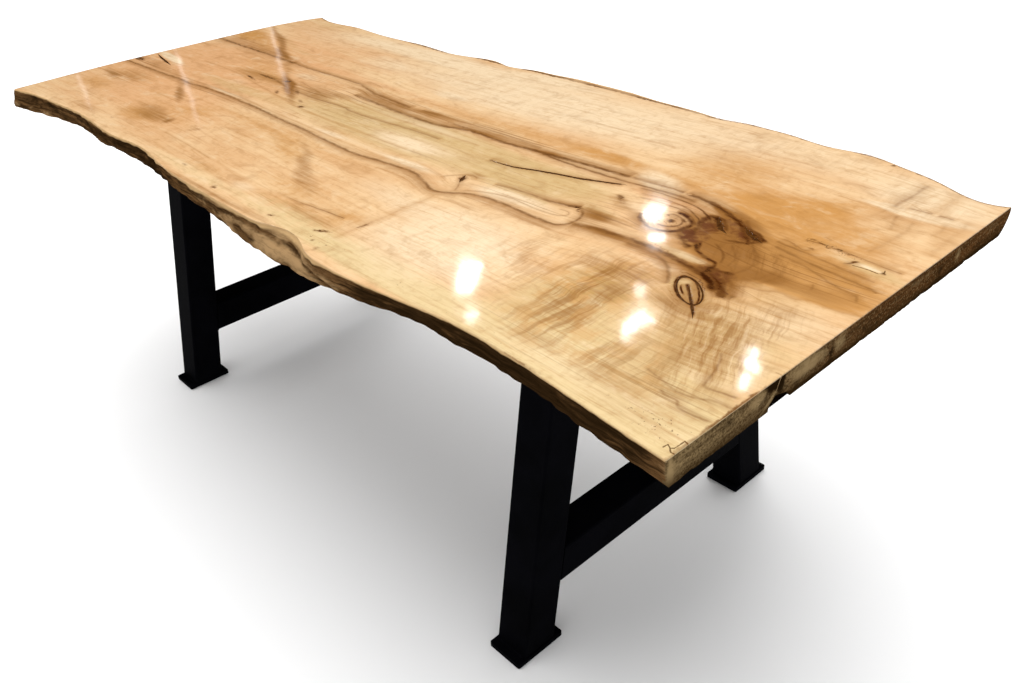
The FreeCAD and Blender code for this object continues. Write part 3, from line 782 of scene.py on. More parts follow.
# Soft patches: middle, half length, half width, turn in degrees, amount
patches = {
    "pink": [
        (-800, -70, 420, 330, 0, 1), (-460, -310, 180, 100, 0, 0.25), (-720, 300, 450, 100, 0, 0.3),
        (660, 60, 100, 28, -3, 0.9), (-450, 145, 500, 20, 0, 0.5), (350, -290, 30, 120, 0, 0.3),
        (950, -160, 60, 30, 0, 0.5),
    ],
    "brown": [
        (880, 85, 50, 18, -20, 0.35), (800, 145, 60, 20, -25, 0.3), (1000, -130, 50, 18, 0, 0.4),
        (-760, 80, 120, 22, 0, 0.32), (-300, 35, 50, 14, 0, 0.45), (-40, 88, 80, 12, 0, 0.28),
        (500, -240, 40, 30, 0, 0.25), (800, -240, 30, 30, 0, 0.35), (500, -75, 40, 10, 0, 0.35),
        (800, -405, 60, 20, 0, 0.35), (-150, -405, 100, 15, 0, 0.35), (20, -462, 250, 8, 0, 0.4),
        (-350, 5, 70, 35, -20, 0.35), (305, -80, 30, 15, 0, 0.65), (900, -75, 30, 20, 0, 0.6),
        (900, 35, 30, 15, -10, 0.4), (-750, -405, 90, 20, 0, 0.5), (-350, 145, 150, 12, 0, 0.3),
        (740, -185, 80, 20, 0, 0.35), (800, 82, 50, 10, -28, 0.5), (990, -60, 80, 18, 2, 0.45),
        (1000, -275, 50, 100, 0, 0.28), (900, -210, 50, 50, 0, 0.32), (600, -75, 35, 20, 0, 0.6),
        (700, 82, 60, 16, -4, 0.45), (-600, -350, 60, 20, 0, 0.3), (-50, -462, 300, 12, 0, 0.35),
        (40, 86, 440, 26, 0, 0.48), (420, 100, 140, 24, 3, 0.22), (-200, 80, 160, 20, -6, 0.34),
        (400, -185, 60, 20, 0, 0.35), (-150, 92, 50, 8, -6, 0.2), (325, 85, 35, 9, 6, 0.6),
        (530, 106, 35, 14, 50, 0.4), (150, 76, 50, 8, 0, 0.5), (-40, 96, 30, 7, 0, 0.3),
        (-900, 148, 220, 28, -3, 0.52), (-420, 20, 130, 45, -10, 0.42), (-620, 0, 140, 30, 0, 0.6),
        (-960, -120, 130, 30, -4, 0.45), (800, 10, 80, 62, -28, 1.05), (850, -40, 80, 55, -25, 0.62),
        (868, -108, 55, 34, -20, 1.15), (720, -108, 130, 10, -2, 0.55), (640, -112, 60, 12, 6, 0.7),
        (800, 60, 60, 14, -32, 0.6), (990, -25, 130, 50, -3, 0.34), (600, -60, 80, 26, -10, 0.55),
        (590, 0, 40, 20, -25, 0.5), (220, -175, 100, 18, -4, 0.4), (470, -155, 140, 12, 0, 0.5),
        (-550, -160, 600, 10, 0, 0.25), (-560, -318, 100, 30, -8, 0.72), (-1000, -240, 60, 18, -10, 0.6),
        (-485, -318, 14, 24, 20, 0.5), (800, -82, 54, 12, -4, -1.3), (1000, -425, 120, 50, 0, 0.42),
        (765, 78, 34, 10, -26, 0.8), (940, -150, 32, 22, -40, 0.12), (815, 2, 34, 16, 0, 0.6),
        (935, -60, 30, 30, 0, 0.5), (795, -30, 30, 20, 0, 0.5), (760, -270, 60, 140, 8, 0.5),
        (960, -220, 100, 80, -40, 0.4), (930, -340, 70, 70, 0, 0.3), (-890, 219, 260, 15, -26, 0.85),
        (-490, 0, 170, 14, -28, 0.85), (-920, -215, 100, 40, 0, 0.55), (-660, -205, 90, 14, -28, 0.85),
        (-375, -310, 14, 22, 10, 0.6), (-300, 300, 20, 90, 0, 0.12), (600, -385, 120, 10, 4, 0.3),
        (0, -270, 160, 18, -34, 0.65), (200, -392, 120, 18, 2, 0.48), (120, -320, 100, 14, -30, 0.45),
        (-300, -115, 120, 14, 0, 0.3), (400, -40, 100, 14, 0, 0.2), (860, -205, 50, 30, -40, 0.35),
        (800, -160, 30, 40, 0, 0.35),
    ],
    "orange": [
        (790, 150, 60, 35, -20, 0.55), (890, 90, 50, 25, -15, 0.4), (-700, 70, 160, 40, 0, 0.5),
        (-20, 88, 100, 20, 0, 0.5), (800, -240, 40, 30, 0, 0.4), (500, -240, 60, 30, 0, 0.8),
        (50, -350, 100, 30, 0, 0.4), (290, -350, 40, 30, 0, 0.5), (-150, -410, 80, 20, 0, 0.5),
        (-1000, -350, 50, 30, 0, 0.4), (-500, -240, 60, 30, 0, 0.5), (-700, -240, 60, 30, 0, 0.4),
        (450, 150, 100, 20, 3, 0.55), (450, 310, 120, 40, 0, 0.42), (-200, 365, 300, 30, 0, 0.3),
        (640, 255, 130, 60, 0, 0.75), (800, 100, 60, 28, -25, 1), (1020, -62, 70, 22, 2, 1.1),
        (-250, -190, 350, 25, 0, 0.42), (-100, -245, 80, 30, -20, 0.52), (-600, -350, 70, 30, 0, 0.6),
        (-950, -300, 100, 35, 0, 0.6), (-600, 0, 160, 36, 0, 0.7), (1000, -130, 60, 25, 0, 0.5),
        (200, -340, 140, 50, 0, 0.45), (420, -185, 120, 30, 0, 0.45), (550, 330, 350, 50, -3, 0.3),
        (-930, -215, 120, 45, 0, 0.45), (-550, -300, 140, 50, -6, 0.45), (888, 150, 130, 75, -30, 0.78),
        (895, 225, 75, 45, 45, 0.48), (1020, 120, 100, 65, 0, 0.32), (100, -230, 300, 55, 0, 0.18),
        (980, -10, 140, 75, 0, 1.1), (850, -25, 100, 85, -10, 1.7), (680, 165, 130, 60, 0, 0.55),
        (850, -235, 60, 45, -35, 0.55), (270, 135, 450, 36, 0, 0.62), (-350, 125, 250, 30, -4, 0.25),
        (-920, 190, 250, 50, -14, 0.6), (-1040, 200, 60, 50, 0, 0.6), (300, -400, 80, 30, 0, 0.3),
        (765, -260, 60, 130, 5, 0.55), (-300, -240, 200, 50, 0, 0.25), (150, -400, 140, 30, 0, 0.35),
    ],
    # the pale patches at (480, -300) and (600, 108) are painted glow round the coat's highlights, the first
    # partly the wood's own pale tone
    "pale": [
        (800, -136, 30, 12, 0, 0.5), (-100, -132, 60, 10, 0, 0.5), (-100, 200, 60, 20, 0, 0.5),
        (-700, 152, 30, 12, 0, 0.4), (600, 90, 40, 10, 0, 0.4), (30, 430, 140, 30, 0, 0.7),
        (-450, 270, 100, 40, 0, 0.4), (-520, 75, 60, 18, 0, 0.5), (40, -65, 120, 30, 0, 0.5),
        (160, -132, 80, 12, 0, 0.7), (-580, -128, 100, 8, 0, 0.7), (420, -118, 70, 14, 2, 0.6),
        (700, 45, 30, 12, 0, 0.4), (0, -405, 40, 20, 0, 0.5), (100, -50, 140, 35, 0, 0.45),
        (250, -240, 100, 40, 0, 0.4), (480, -300, 170, 130, 0, 1), (980, -420, 180, 70, 0, 0.2),
        (1030, -160, 80, 60, 0, 0.45), (120, 300, 500, 110, 0, 1), (620, 410, 400, 70, -4, 0.55),
        (600, 108, 75, 36, -30, 0.95), (-1000, -66, 80, 16, -9, 1.3), (806, -83, 56, 12, -4, 0.52),
        (0, 30, 200, 20, 0, 0.5), (450, -105, 100, 18, 2, 0.8), (-620, -60, 40, 20, 0, 0.35),
        (-100, -128, 500, 10, 0, 0.3), (830, -420, 120, 40, 0, 0.25), (-400, 390, 350, 50, 0, 0.8),
        (985, 273, 74, 10, 3, 2.4), (1000, 330, 120, 70, 0, 0.8), (1026, 59, 22, 4, -3, 1),
        (-780, 350, 200, 80, 0, 0.3), (640, 0, 50, 22, 0, 0.5),
    ],
    "red": [
        (772, 20, 28, 48, 8, 0.85), (755, -30, 30, 18, -30, 0.85), (826, 40, 40, 18, -35, 0.75),
        (868, -106, 40, 20, -25, 0.8), (908, -148, 22, 14, -40, 0.6), (895, -90, 20, 12, 0, 0.4),
        (700, 83, 100, 10, -4, 0.25), (600, 105, 50, 10, 0, 0.15), (-1000, 175, 80, 20, -8, 0.35),
        (560, -62, 22, 10, 0, 0.35), (-135, 92, 35, 6, 0, 0.35), (745, -85, 50, 10, -10, 0.2),
    ],
    "ash": [
        (800, -85, 55, 12, -4, 0.8), (872, -168, 34, 18, -43, 1.2), (-20, -40, 420, 85, 0, 0.85),
        (430, -20, 160, 60, 6, 0.75), (-600, -90, 200, 30, 0, 0.5), (600, -60, 50, 25, -10, 0.5),
        (100, 30, 400, 30, 0, 0.5), (1035, 54, 75, 17, -8, 0.6), (760, -300, 100, 130, 0, 0.8),
        (-800, 210, 250, 20, -14, 0.3), (980, -260, 140, 200, 0, 0.65), (960, -420, 220, 80, 0, 0.7),
        (-950, 420, 150, 30, 0, 0.4),
    ],
    "straw": [
        (950, -440, 160, 40, 0, 0.8), (550, -445, 200, 20, 0, 0.4), (1000, -430, 220, 75, 0, 1.1),
        (1000, -250, 120, 120, 0, 0.4), (620, -430, 300, 35, 0, 0.9), (250, -420, 220, 40, 0, 0.6),
        (800, -330, 160, 120, 0, 0.45), (-150, -430, 200, 20, 0, 0.4), (420, -90, 120, 30, 0, 0.5),
    ],
    "cross": [
        (770, -255, 70, 120, 5, 1), (940, -280, 100, 120, 0, 0.35), (660, -250, 100, 100, 0, 0.45),
        (100, 300, 500, 100, 0, 0.12), (350, -300, 200, 120, 0, 0.15), (720, 400, 250, 60, 0, 0.2),
        (980, 300, 80, 80, 0, 0.25), (860, -380, 140, 50, 0, 0.5),
    ],
    "curl": [
        (870, -30, 70, 55, 0, 0.85), (970, -210, 75, 90, -50, 1.1), (910, -120, 40, 40, 0, 0.6),
        (1010, -300, 60, 80, 0, 0.95), (600, -50, 60, 30, 0, 0.3),
    ],
    "speck": [
        (990, -435, 120, 40, 0, 0.1), (950, 80, 70, 12, -4, 0.9), (1030, -440, 70, 40, 0, 0.5),
        (1000, -20, 80, 50, 0, 0.3), (300, -425, 60, 25, 0, 0.45), (-500, -410, 250, 30, 0, 0.3),
        (40, -440, 200, 15, 0, 0.4), (650, -440, 400, 20, 0, 0.35), (-850, -380, 150, 50, 0, 0.3),
    ],
}
markPatches = {
    "lined": [
        (660, 66, 120, 28, -3, 0.9), (-340, 40, 200, 50, -6, 0.8), (-580, 0, 120, 35, -3, 0.8),
        (150, 100, 400, 26, 0, 0.9), (-850, 145, 220, 24, -4, 0.6), (-1000, -125, 120, 20, -6, 0.9),
        (970, -10, 130, 50, -3, 0.9), (460, -105, 100, 22, 2, 0.6), (620, -45, 70, 35, -10, 0.8),
        (704, -4, 45, 38, 0, 1.1), (100, -60, 500, 60, 0, 0.35), (850, -30, 70, 60, -20, 1.1),
        (460, -155, 140, 12, 0, 0.5), (-500, -155, 500, 8, 0, 0.5), (720, -108, 120, 16, -6, 0.8),
        (800, -420, 250, 50, 0, 0.4), (450, 300, 500, 100, 0, 0.15), (1000, -370, 90, 40, -10, 0.5),
    ],
    "dark": [
        (740, -463.5, 110, 5, 0, 0.85), (742, -14, 7, 26, 8, 0.5), (778, 38, 30, 12, -42, 0.6),
        (760, 54, 13, 6, -10, 0.55), (838, 38, 34, 10, -32, 0.75), (834, 2, 16, 5, 15, 0.55),
        (795, -50, 14, 5, -50, 0.8), (858, -98, 11, 14, 0, 0.7), (886, -90, 12, 6, 10, 0.6),
        (866, -122, 22, 6, -25, 0.65), (893, -142, 12, 8, -30, 0.6), (876, -126, 24, 8, -32, 0.5),
        (915, -150, 12, 8, -45, 0.5), (330, -352, 5, 18, 0, 0.5), (590, 8, 20, 9, -35, 0.35),
        (578, 20, 12, 9, -30, 0.3), (708, -3, 8, 6, -40, 0.75), (690, 12, 6, 4, 0, 0.5),
        (724, 12, 10, 4, -40, 0.55), (302, -108, 14, 9, -60, 0.6), (548, -66, 18, 4, 20, 0.65),
        (562, -72, 10, 3, -60, 0.6), (-600, 8, 55, 6, -2, 0.55), (-528, 18, 18, 9, 25, 0.55),
        (-635, -22, 35, 5, -10, 0.6), (-470, -45, 18, 6, -35, 0.55), (-322, -70, 12, 8, 0, 0.62),
        (-360, -47, 20, 5, -20, 0.4), (-430, -12, 30, 7, -30, 0.4), (-1075, -126, 35, 12, -6, 0.65),
        (-190, -427, 16, 4, -14, 0.55), (-35, -441, 10, 5, -15, 0.72), (165, -436, 10, 3.5, -10, 0.6),
        (292, -411, 18, 5, 25, 0.7), (312, -441, 6, 4, 0, 0.6), (342, -456, 6, 4, -40, 0.8),
        (-620, -395, 20, 3, -15, 0.35), (702, 98, 120, 4, -6, 0.3), (100, 78, 60, 4, 0, 0.4),
        (340, 78, 60, 4, 0, 0.45), (-150, 88, 50, 4, -4, 0.2), (1003, 62, 6, 3, 40, 0.7),
        (1051, 56, 6, 3, -50, 0.7), (862, 437, 6, 4, 0, 0.8), (918, 88, 7, 3, 0, 0.6),
        (935, 83, 8, 3, -10, 0.6), (950, 76, 6, 3, 0, 0.5), (966, 83, 10, 3, -5, 0.5),
        (932, 58, 8, 3, -10, 0.45), (985, 78, 8, 3, 0, 0.45), (905, 52, 10, 3, -20, 0.4),
        (960, 98, 8, 3, -30, 0.35), (930, 105, 10, 3, -20, 0.3),
    ],
}

# Soft patches on the sawn end: place across the slab, depth, half width, half height, turn, amount
endPatches = {
    "light": [
        (-465, 30, 16, 20, 0, 0.45), (-286, 30, 30, 3.5, -33, 1), (-478, 22, 6, 25, 0, 1.1),
        (-430, 12, 30, 14, 0, 0.2), (-200, 15, 50, 16, 0, 0.75), (-122, 16, 16, 16, 0, 0.6),
        (-310, 14, 22, 14, 10, 0.75), (215, 20, 8, 16, 0, 0.6), (20, 20, 20, 8, 0, 0.25),
        (100, 14, 50, 8, 0, 0.3), (330, 14, 40, 10, 0, 0.25),
    ],
    "dark": [
        (-262, 12, 10, 20, 10, 1), (-280, 4, 17, 10, 15, 1.1), (-292, 18, 20, 7, -30, 0.6),
        (-370, 16, 20, 12, 20, 0.5), (-144, 28, 8, 20, 0, 0.8), (-240, 34, 50, 10, 0, 0.5),
        (0, 4, 400, 3, 0, 0.3), (-160, 41, 100, 5, 0, 0.8), (250, 41, 300, 6, 0, 0.9),
        (-50, 26, 40, 14, 0, 0.5), (160, 26, 12, 20, 0, 0.5), (290, 24, 30, 14, 0, 0.4),
    ],
}

# How the live edges' colours run along the slab: depth of the pale lip, a painted highlight of the rounded
# rim, and the edge's painted shade, lighter where light falls and darkest on the shaded right part
lipDepths = [(-1090, 4.5), (-700, 6.5), (-200, 7.5), (80, 9), (300, 9.5), (420, 5.5), (550, 4), (1090, 4)]
edgePaintedShading = [
    (-1090, -0.05), (-980, -0.35), (-700, -0.4), (-480, -0.6), (-380, -1), (-220, -0.7), (-120, -0.3),
    (50, 0.2), (300, 0.6), (360, 0.6), (460, -0.5), (600, -1.15), (920, -1.25), (1040, -1.1), (1065, -0.2),
    (1090, 0.5)]


# Numbers of the figure that the tables leave open
figureForm = {
    "ringShift": 2,             # keeps the knots' rings apart from the grain's own values
    "ringCrowding": 1.6,        # how close the rings lie
    "ringRadius": 0.02,
    "lineReach": 11,            # how far a dark line's shade reaches, in half widths
    "lineTaper": 0.012,         # length over which a dark line starts and ends
    "wideWarp": (0.020, 0.008),     # how far noise moves the patches' outlines
    "closeWarp": (0.004, 0.0015),   # and those of the dark marks and lines
    "rimWidth": 0.02,           # breadth of the brown shade along the far rim and the sawn end's
    "endRimStart": -0.22,       # where the sawn end's starts
    "endRimFade": 0.1,
    "endInset": 0.004,          # how far the worn lower edge stays off the sawn end's corners
    "wornDepth": 0.009,         # how far in it reaches
    "wornDrop": 0.032,          # and how far under the top it starts
    # painted shade of the notch's walls, and the margin round the bark within which it is painted
    "notchMargin": 0.001,
    "notchShade": -4.0,
    "foldContrast": 0.0062,     # depth of a fold that changes the live edge's painted shade by one
}


def turned(spots, middle, turn):        # places along and across a turned patch or knot
    angle = math.radians(turn)
    gap = spots - np.array(middle)
    along = gap[:, 0] * math.cos(angle) + gap[:, 1] * math.sin(angle)
    return along, gap[:, 1] * math.cos(angle) - gap[:, 0] * math.sin(angle)


def softPatches(spots, rows):
    total = np.zeros(len(spots))
    for *sizes, turn, amount in rows:
        x, y, halfLength, halfWidth = inMetres(sizes)
        along, across = turned(spots, (x, y), turn)
        total += amount * np.exp(-((along / halfLength) ** 2 + (across / halfWidth) ** 2) ** 1.5)
    return total


def softMasks(spots, table):
    return {name: softPatches(spots, rows) for name, rows in table.items()}


def grainFlow(spots):
    # grain value of each place: even between the guides, parted round the knots, rings inside them
    columns = [np.interp(spots[:, 0], *smoothPath(inMetres(points), 6).T) for value, points in grainGuides]
    values = inMetres([value for value, points in grainGuides])
    across = values[0] + spots[:, 1] - columns[0]
    for index in range(len(columns) - 1):
        share = (spots[:, 1] - columns[index]) / (columns[index + 1] - columns[index])
        between = values[index] + (values[index + 1] - values[index]) * share
        across = np.where(share > 0, between, across)
    across = np.where(spots[:, 1] > columns[-1], values[-1] + spots[:, 1] - columns[-1], across)
    along = spots[:, 0].copy()
    third = np.zeros(len(spots))
    radius = figureForm["ringRadius"]
    for *sizes, turn in knots:
        x, y, halfLength, halfWidth = inMetres(sizes)
        right, up = turned(spots, (x, y), turn)
        right, up = right / halfLength, up / halfWidth
        ring = np.maximum(np.hypot(right, up), 0.001)
        middle = across[np.argmin(ring)]
        outer = middle + (across - middle) * (1 - 1 / np.maximum(ring, 1) ** 2)
        rings = figureForm["ringShift"] + middle + ring * halfWidth * figureForm["ringCrowding"]
        inside = ring < 1
        across = np.where(inside, rings, outer)
        along = np.where(inside, x + right / ring * radius, along)
        third = np.where(inside, up / ring * radius, third)
    return np.stack([along, across, third], 1)


def lineLayers(spots):
    layers = [np.tile((12.0, 0.0, 0.0), (len(spots), 1)) for layer in range(lineLayerCount)]
    for layer, halfWidth, lean, darkStart, darkEnd, points in grainLines.values():
        halfWidth = halfWidth / 1000
        path = smoothPath(inMetres(points))
        length = np.hypot(*np.diff(path, axis=0).T).sum()
        reach = halfWidth * figureForm["lineReach"]
        signed, share = distanceToPath(spots, path, reach)
        taper = np.clip(np.minimum(share, 1 - share) * length / figureForm["lineTaper"], 0, 1)
        fade = np.clip((reach - np.abs(signed)) / (reach * 0.4), 0, 1)
        dark = (darkStart + (darkEnd - darkStart) * share) * taper * fade
        known = layers[layer]
        closer = (dark > 0) & ((known[:, 1] == 0) | (np.abs(signed) / halfWidth < np.abs(known[:, 0])))
        known[closer] = np.stack([signed / halfWidth, dark, np.full(len(spots), lean)], 1)[closer]
    return layers


def rimShade(spots):        # 1 at the far rim and at the near part of the sawn end's rim
    width = figureForm["rimWidth"]
    farEdge = np.interp(spots[:, 0], *outlineAt(topLevel - topStep)["far"].T)
    farRim = np.clip(1 - (farEdge - spots[:, 1]) / width, 0, 1)
    nearPart = np.clip((figureForm["endRimStart"] - spots[:, 1]) / figureForm["endRimFade"], 0, 1)
    return np.maximum(farRim, np.clip(1 - (slabHigh.x - spots[:, 0]) / width, 0, 1) * nearPart)


def onSawnEnd(spots, drop):     # the sawn end and its worn lower edge
    inset = figureForm["endInset"]
    castX, castZ = slabHigh.x - cornerStep, topLevel - inset
    nearEdge = hitAlong((castX, -outside, castZ), (0, 1, 0)).y
    farEdge = hitAlong((castX, outside, castZ), (0, -1, 0)).y
    between = (spots[:, 1] > nearEdge + inset) & (spots[:, 1] < farEdge - inset)
    worn = (spots[:, 0] > slabHigh.x - figureForm["wornDepth"]) & (drop > figureForm["wornDrop"])
    return (spots[:, 0] > slabHigh.x - 0.0004) | (worn & between)


def edgeShade(spots, drop, end):        # how light or dark the live edges are painted: a painted shade, darker in the folds' grooves, lighter on their ridges, darkest in the notch
    shade = np.zeros(len(spots))
    for index in np.flatnonzero(drop > 0.001):
        x, y = spots[index]
        fold = foldAt(x, drop[index]) if y < 0 else 0
        shade[index] = fold / figureForm["foldContrast"] + np.interp(x * 1000, *zip(*edgePaintedShading))
    barkLow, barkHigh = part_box("bark_inclusion")
    margin = np.array(figureForm["notchMargin"])
    notch = (spots > barkLow[:2] - margin).all(1) & (spots < barkHigh[:2] + margin).all(1)
    return np.where(notch & (drop > 0.003) & ~end, figureForm["notchShade"], shade)


def store(mesh, name, *values):     # three values for each vertex
    attribute = mesh.attributes.new(name, "FLOAT_VECTOR", "POINT")
    attribute.data.foreach_set("vector", np.stack(values, 1).astype(np.float32).ravel())


def storeFigure(mesh):
    places = np.empty(len(mesh.vertices) * 3)
    mesh.vertices.foreach_get("co", places)
    places = places.reshape(-1, 3)
    spots = places[:, :2]
    drop = topLevel - places[:, 2]
    flow = grainFlow(spots)
    store(mesh, "flow", flow[:, 0], flow[:, 1] + drop * 0.8, flow[:, 2])
    warp = np.array([noise.noise_vector(Vector((x * 7, y * 26, 0)))[:2] for x, y in spots])
    closeSpots = spots + warp * figureForm["closeWarp"]
    masks = softMasks(spots + warp * figureForm["wideWarp"], patches)
    marks = softMasks(closeSpots, markPatches)
    ends = softMasks(np.stack([spots[:, 1], drop], 1), endPatches)
    end = onSawnEnd(spots, drop)
    lip = drop * 1000 / np.interp(spots[:, 0] * 1000, *zip(*lipDepths))
    lip = np.where(drop < 0.0012, -rimShade(spots), lip)
    store(mesh, "toneA", masks["pink"], masks["brown"], masks["orange"])
    store(mesh, "toneB", masks["pale"], masks["red"], masks["ash"])
    store(mesh, "toneC", masks["straw"], ends["light"], ends["dark"])
    store(mesh, "figure", masks["cross"], masks["curl"], masks["speck"])
    # the marks' third value is the live edges' painted shade
    store(mesh, "marks", marks["lined"], marks["dark"], edgeShade(spots, drop, end))
    store(mesh, "edge", lip, np.clip((drop - 0.0004) / 0.002, 0, 1), end)
    for index, layer in enumerate(lineLayers(closeSpots)):
        store(mesh, "line" + str(index), *layer.T)


storeFigure(slabMesh)
print("slab figure stored")


# Slab material

slabColours = {
    "tanLight": (0.755, 0.520, 0.290, 1),
    "tanDeep": (0.665, 0.405, 0.202, 1),
    "pink": (0.680, 0.378, 0.182, 1),
    "pale": (0.790, 0.612, 0.400, 1),
    "straw": (0.655, 0.500, 0.262, 1),
    "ash": (0.577, 0.4, 0.188, 1),
    "orange": (0.531, 0.265, 0.081, 1),
    "brown": (0.270, 0.116, 0.028, 1),
    "streak": (0.400, 0.190, 0.055, 1),
    "red": (0.125, 0.040, 0.012, 1),
    "line": (0.058, 0.013, 0.001, 1),
    "vein": (0.150, 0.056, 0.012, 1),
    "dark": (0.040, 0.009, 0.001, 1),
    "speck": (0.110, 0.055, 0.018, 1),
    # edgeDark and edgeLight also paint shadow and light on the live edges; lip is the colour of the painted
    # highlight under the rim
    "edgeDark": (0.012, 0.006, 0.002, 1),
    "edgeMid": (0.130, 0.066, 0.025, 1),
    "edgeLight": (0.380, 0.238, 0.112, 1),
    "lip": (0.477, 0.308, 0.146, 1),
    "endLight": (0.250, 0.172, 0.082, 1),
    # endNear and endFar paint the sawn end's shade, light at the near corner and dark at the far side
    "endNear": (0.165, 0.112, 0.052, 1),
    "endFar": (0.085, 0.036, 0.011, 1),
    "endDark": (0.026, 0.013, 0.004, 1),
}


def ragged(tree, mask, broken, amount, low, high):      # breaks a soft mask up by a noise
    return ramp(tree, calc(tree, "ADD", mask, timesPlus(tree, broken, amount, -0.5 * amount)), low, high)


def addPatches(tree, shade, grain, mottle):
    pink, brown, orange = parted(tree, stored(tree, "toneA"))
    pale, red, ash = parted(tree, stored(tree, "toneB"))
    straw = parted(tree, stored(tree, "toneC"))[0]
    broad, streak = grain["Broad"], grain["Streak"]
    clouds = timesPlus(tree, mottle, 0.4, broad)
    # mask, colour, the noise that breaks the mask up and how much, and the bounds of its soft step
    for mask, name, broken, amount, low, high in (
            (pink, "pink", broad, 0.5, 0.0, 1.0),
            (orange, "orange", clouds, 0.7, 0.20, 1.30),
            (ash, "ash", streak, 0.5, 0.1, 0.9),
            (straw, "straw", mottle, 0.8, 0.1, 0.9),
            (pale, "pale", broad, 0.6, 0.0, 1.0),
            (brown, "brown", streak, 1.1, 0.1, 1.15),
            (red, "red", mottle, 1.4, 0.25, 0.95)):
        shade = blend(tree, ragged(tree, mask, broken, amount, low, high), shade, slabColours[name])
    stained = calc(tree, "ADD", timesPlus(tree, orange, 0.4, brown), red)
    return shade, ramp(tree, stained, 0.45, 1.15, 1.0, 0.1)


def addTexture(tree, shade, grain, mottle, place, clear):       # small dark and light streaks all over
    stain = noiseAt(tree, place, (14, 30, 30), 5, 0.6, 0.8)
    # noise, where it darkens from and to, how much and to what colour, and the same for lightening
    for texture, darker, lighter in (
            (stain, (0.50, 0.72, 0.28, "brown"), (0.48, 0.28, 0.30, "pale")),
            (grain["Streak"], (0.48, 0.70, 0.34, "streak"), (0.46, 0.28, 0.22, "tanLight")),
            (mottle, (0.50, 0.74, 0.24, "streak"), (0.48, 0.28, 0.12, "tanLight"))):
        start, end, amount, name = darker
        shade = deepen(tree, ramp(tree, texture, start, end, 0.0, amount), shade, slabColours[name])
        start, end, amount, name = lighter
        paler = times(tree, ramp(tree, texture, start, end, 0.0, amount), clear)
        shade = blend(tree, paler, shade, slabColours[name])
    return deepen(tree, ramp(tree, grain["Fibre"], 0.45, 0.75, 0.0, 0.26), shade, slabColours["streak"])


def addFigure(tree, shade, place, clear):
    colour = slabColours
    figure = use(tree, curlyFigure, {"Vector": place})
    cross, curl, speck = parted(tree, stored(tree, "figure"))
    blocks = times(tree, ramp(tree, figure["Blocks"], 0.42, 0.60), cross, clamp=True)
    shade = deepen(tree, times(tree, blocks, 0.60), shade, colour["orange"])
    bands = times(tree, ramp(tree, figure["Bands"], 0.46, 0.62), cross, clamp=True)
    shade = deepen(tree, times(tree, bands, 0.70), shade, colour["brown"])
    slant = times(tree, ramp(tree, figure["Slant"], 0.46, 0.68), curl, clamp=True)
    swirl = times(tree, slant, timesPlus(tree, clear, -0.45, 0.45))
    shade = deepen(tree, swirl, shade, colour["vein"])
    shade = deepen(tree, times(tree, slant, 0.55), shade, colour["brown"])
    bright = times(tree, ramp(tree, figure["Slant"], 0.46, 0.34), ramp(tree, curl, 0.6, 1.0), clamp=True)
    bright = times(tree, bright, times(tree, clear, 0.25))
    return blend(tree, bright, shade, colour["pale"]), speck


def addLines(tree, shade, place, grain):
    colour = slabColours
    lined, dark = parted(tree, stored(tree, "marks"))[:2]
    veins = times(tree, grain["Vein"], lined, clamp=True)
    shade = deepen(tree, times(tree, veins, 0.65), shade, colour["vein"])
    wobble = noiseAt(tree, place, (55, 55, 55), 3)
    broken = noiseAt(tree, place, (38, 90, 90), 3, 0.6)
    for index in range(lineLayerCount):
        inputs = {"Line": stored(tree, "line" + str(index)), "Wobble": wobble, "Broken": broken}
        line = use(tree, grainLine, inputs)
        shade = deepen(tree, line["Warm"], shade, colour["orange"])
        shade = deepen(tree, line["Halo"], shade, colour["brown"])
        shade = deepen(tree, line["Core"], shade, colour["vein"])
        shade = blend(tree, line["Deep"], shade, colour["line"])
    mottle = noiseAt(tree, place, (70, 130, 130), 4, 0.7, 0.8)
    shade = blend(tree, ragged(tree, dark, mottle, 0.9, 0.05, 0.75), shade, colour["vein"])
    return blend(tree, ragged(tree, dark, mottle, 1.4, 0.35, 0.95), shade, colour["dark"])


def addStrokes(tree, shade, place):
    wander = noiseAt(tree, place, (160, 160, 0), 2)
    wide = times(tree, ramp(tree, wander, 0.30, 0.65, 0.5, 1.3), strokeWidth / 1000)
    for points in strokes:
        nearest = 1.0
        places = inMetres(points)
        for start, end in zip(places, places[1:]):
            inputs = {"Vector": place, "Start": (*start, 0), "Run": (*(end - start), 0)}
            nearest = calc(tree, "MINIMUM", nearest, use(tree, strokeDistance, inputs)["Distance"])
        mask = ramp(tree, calc(tree, "DIVIDE", nearest, wide), 0.4, 1.2, 0.9, 0.0)
        shade = blend(tree, mask, shade, slabColours["speck"])
    return shade


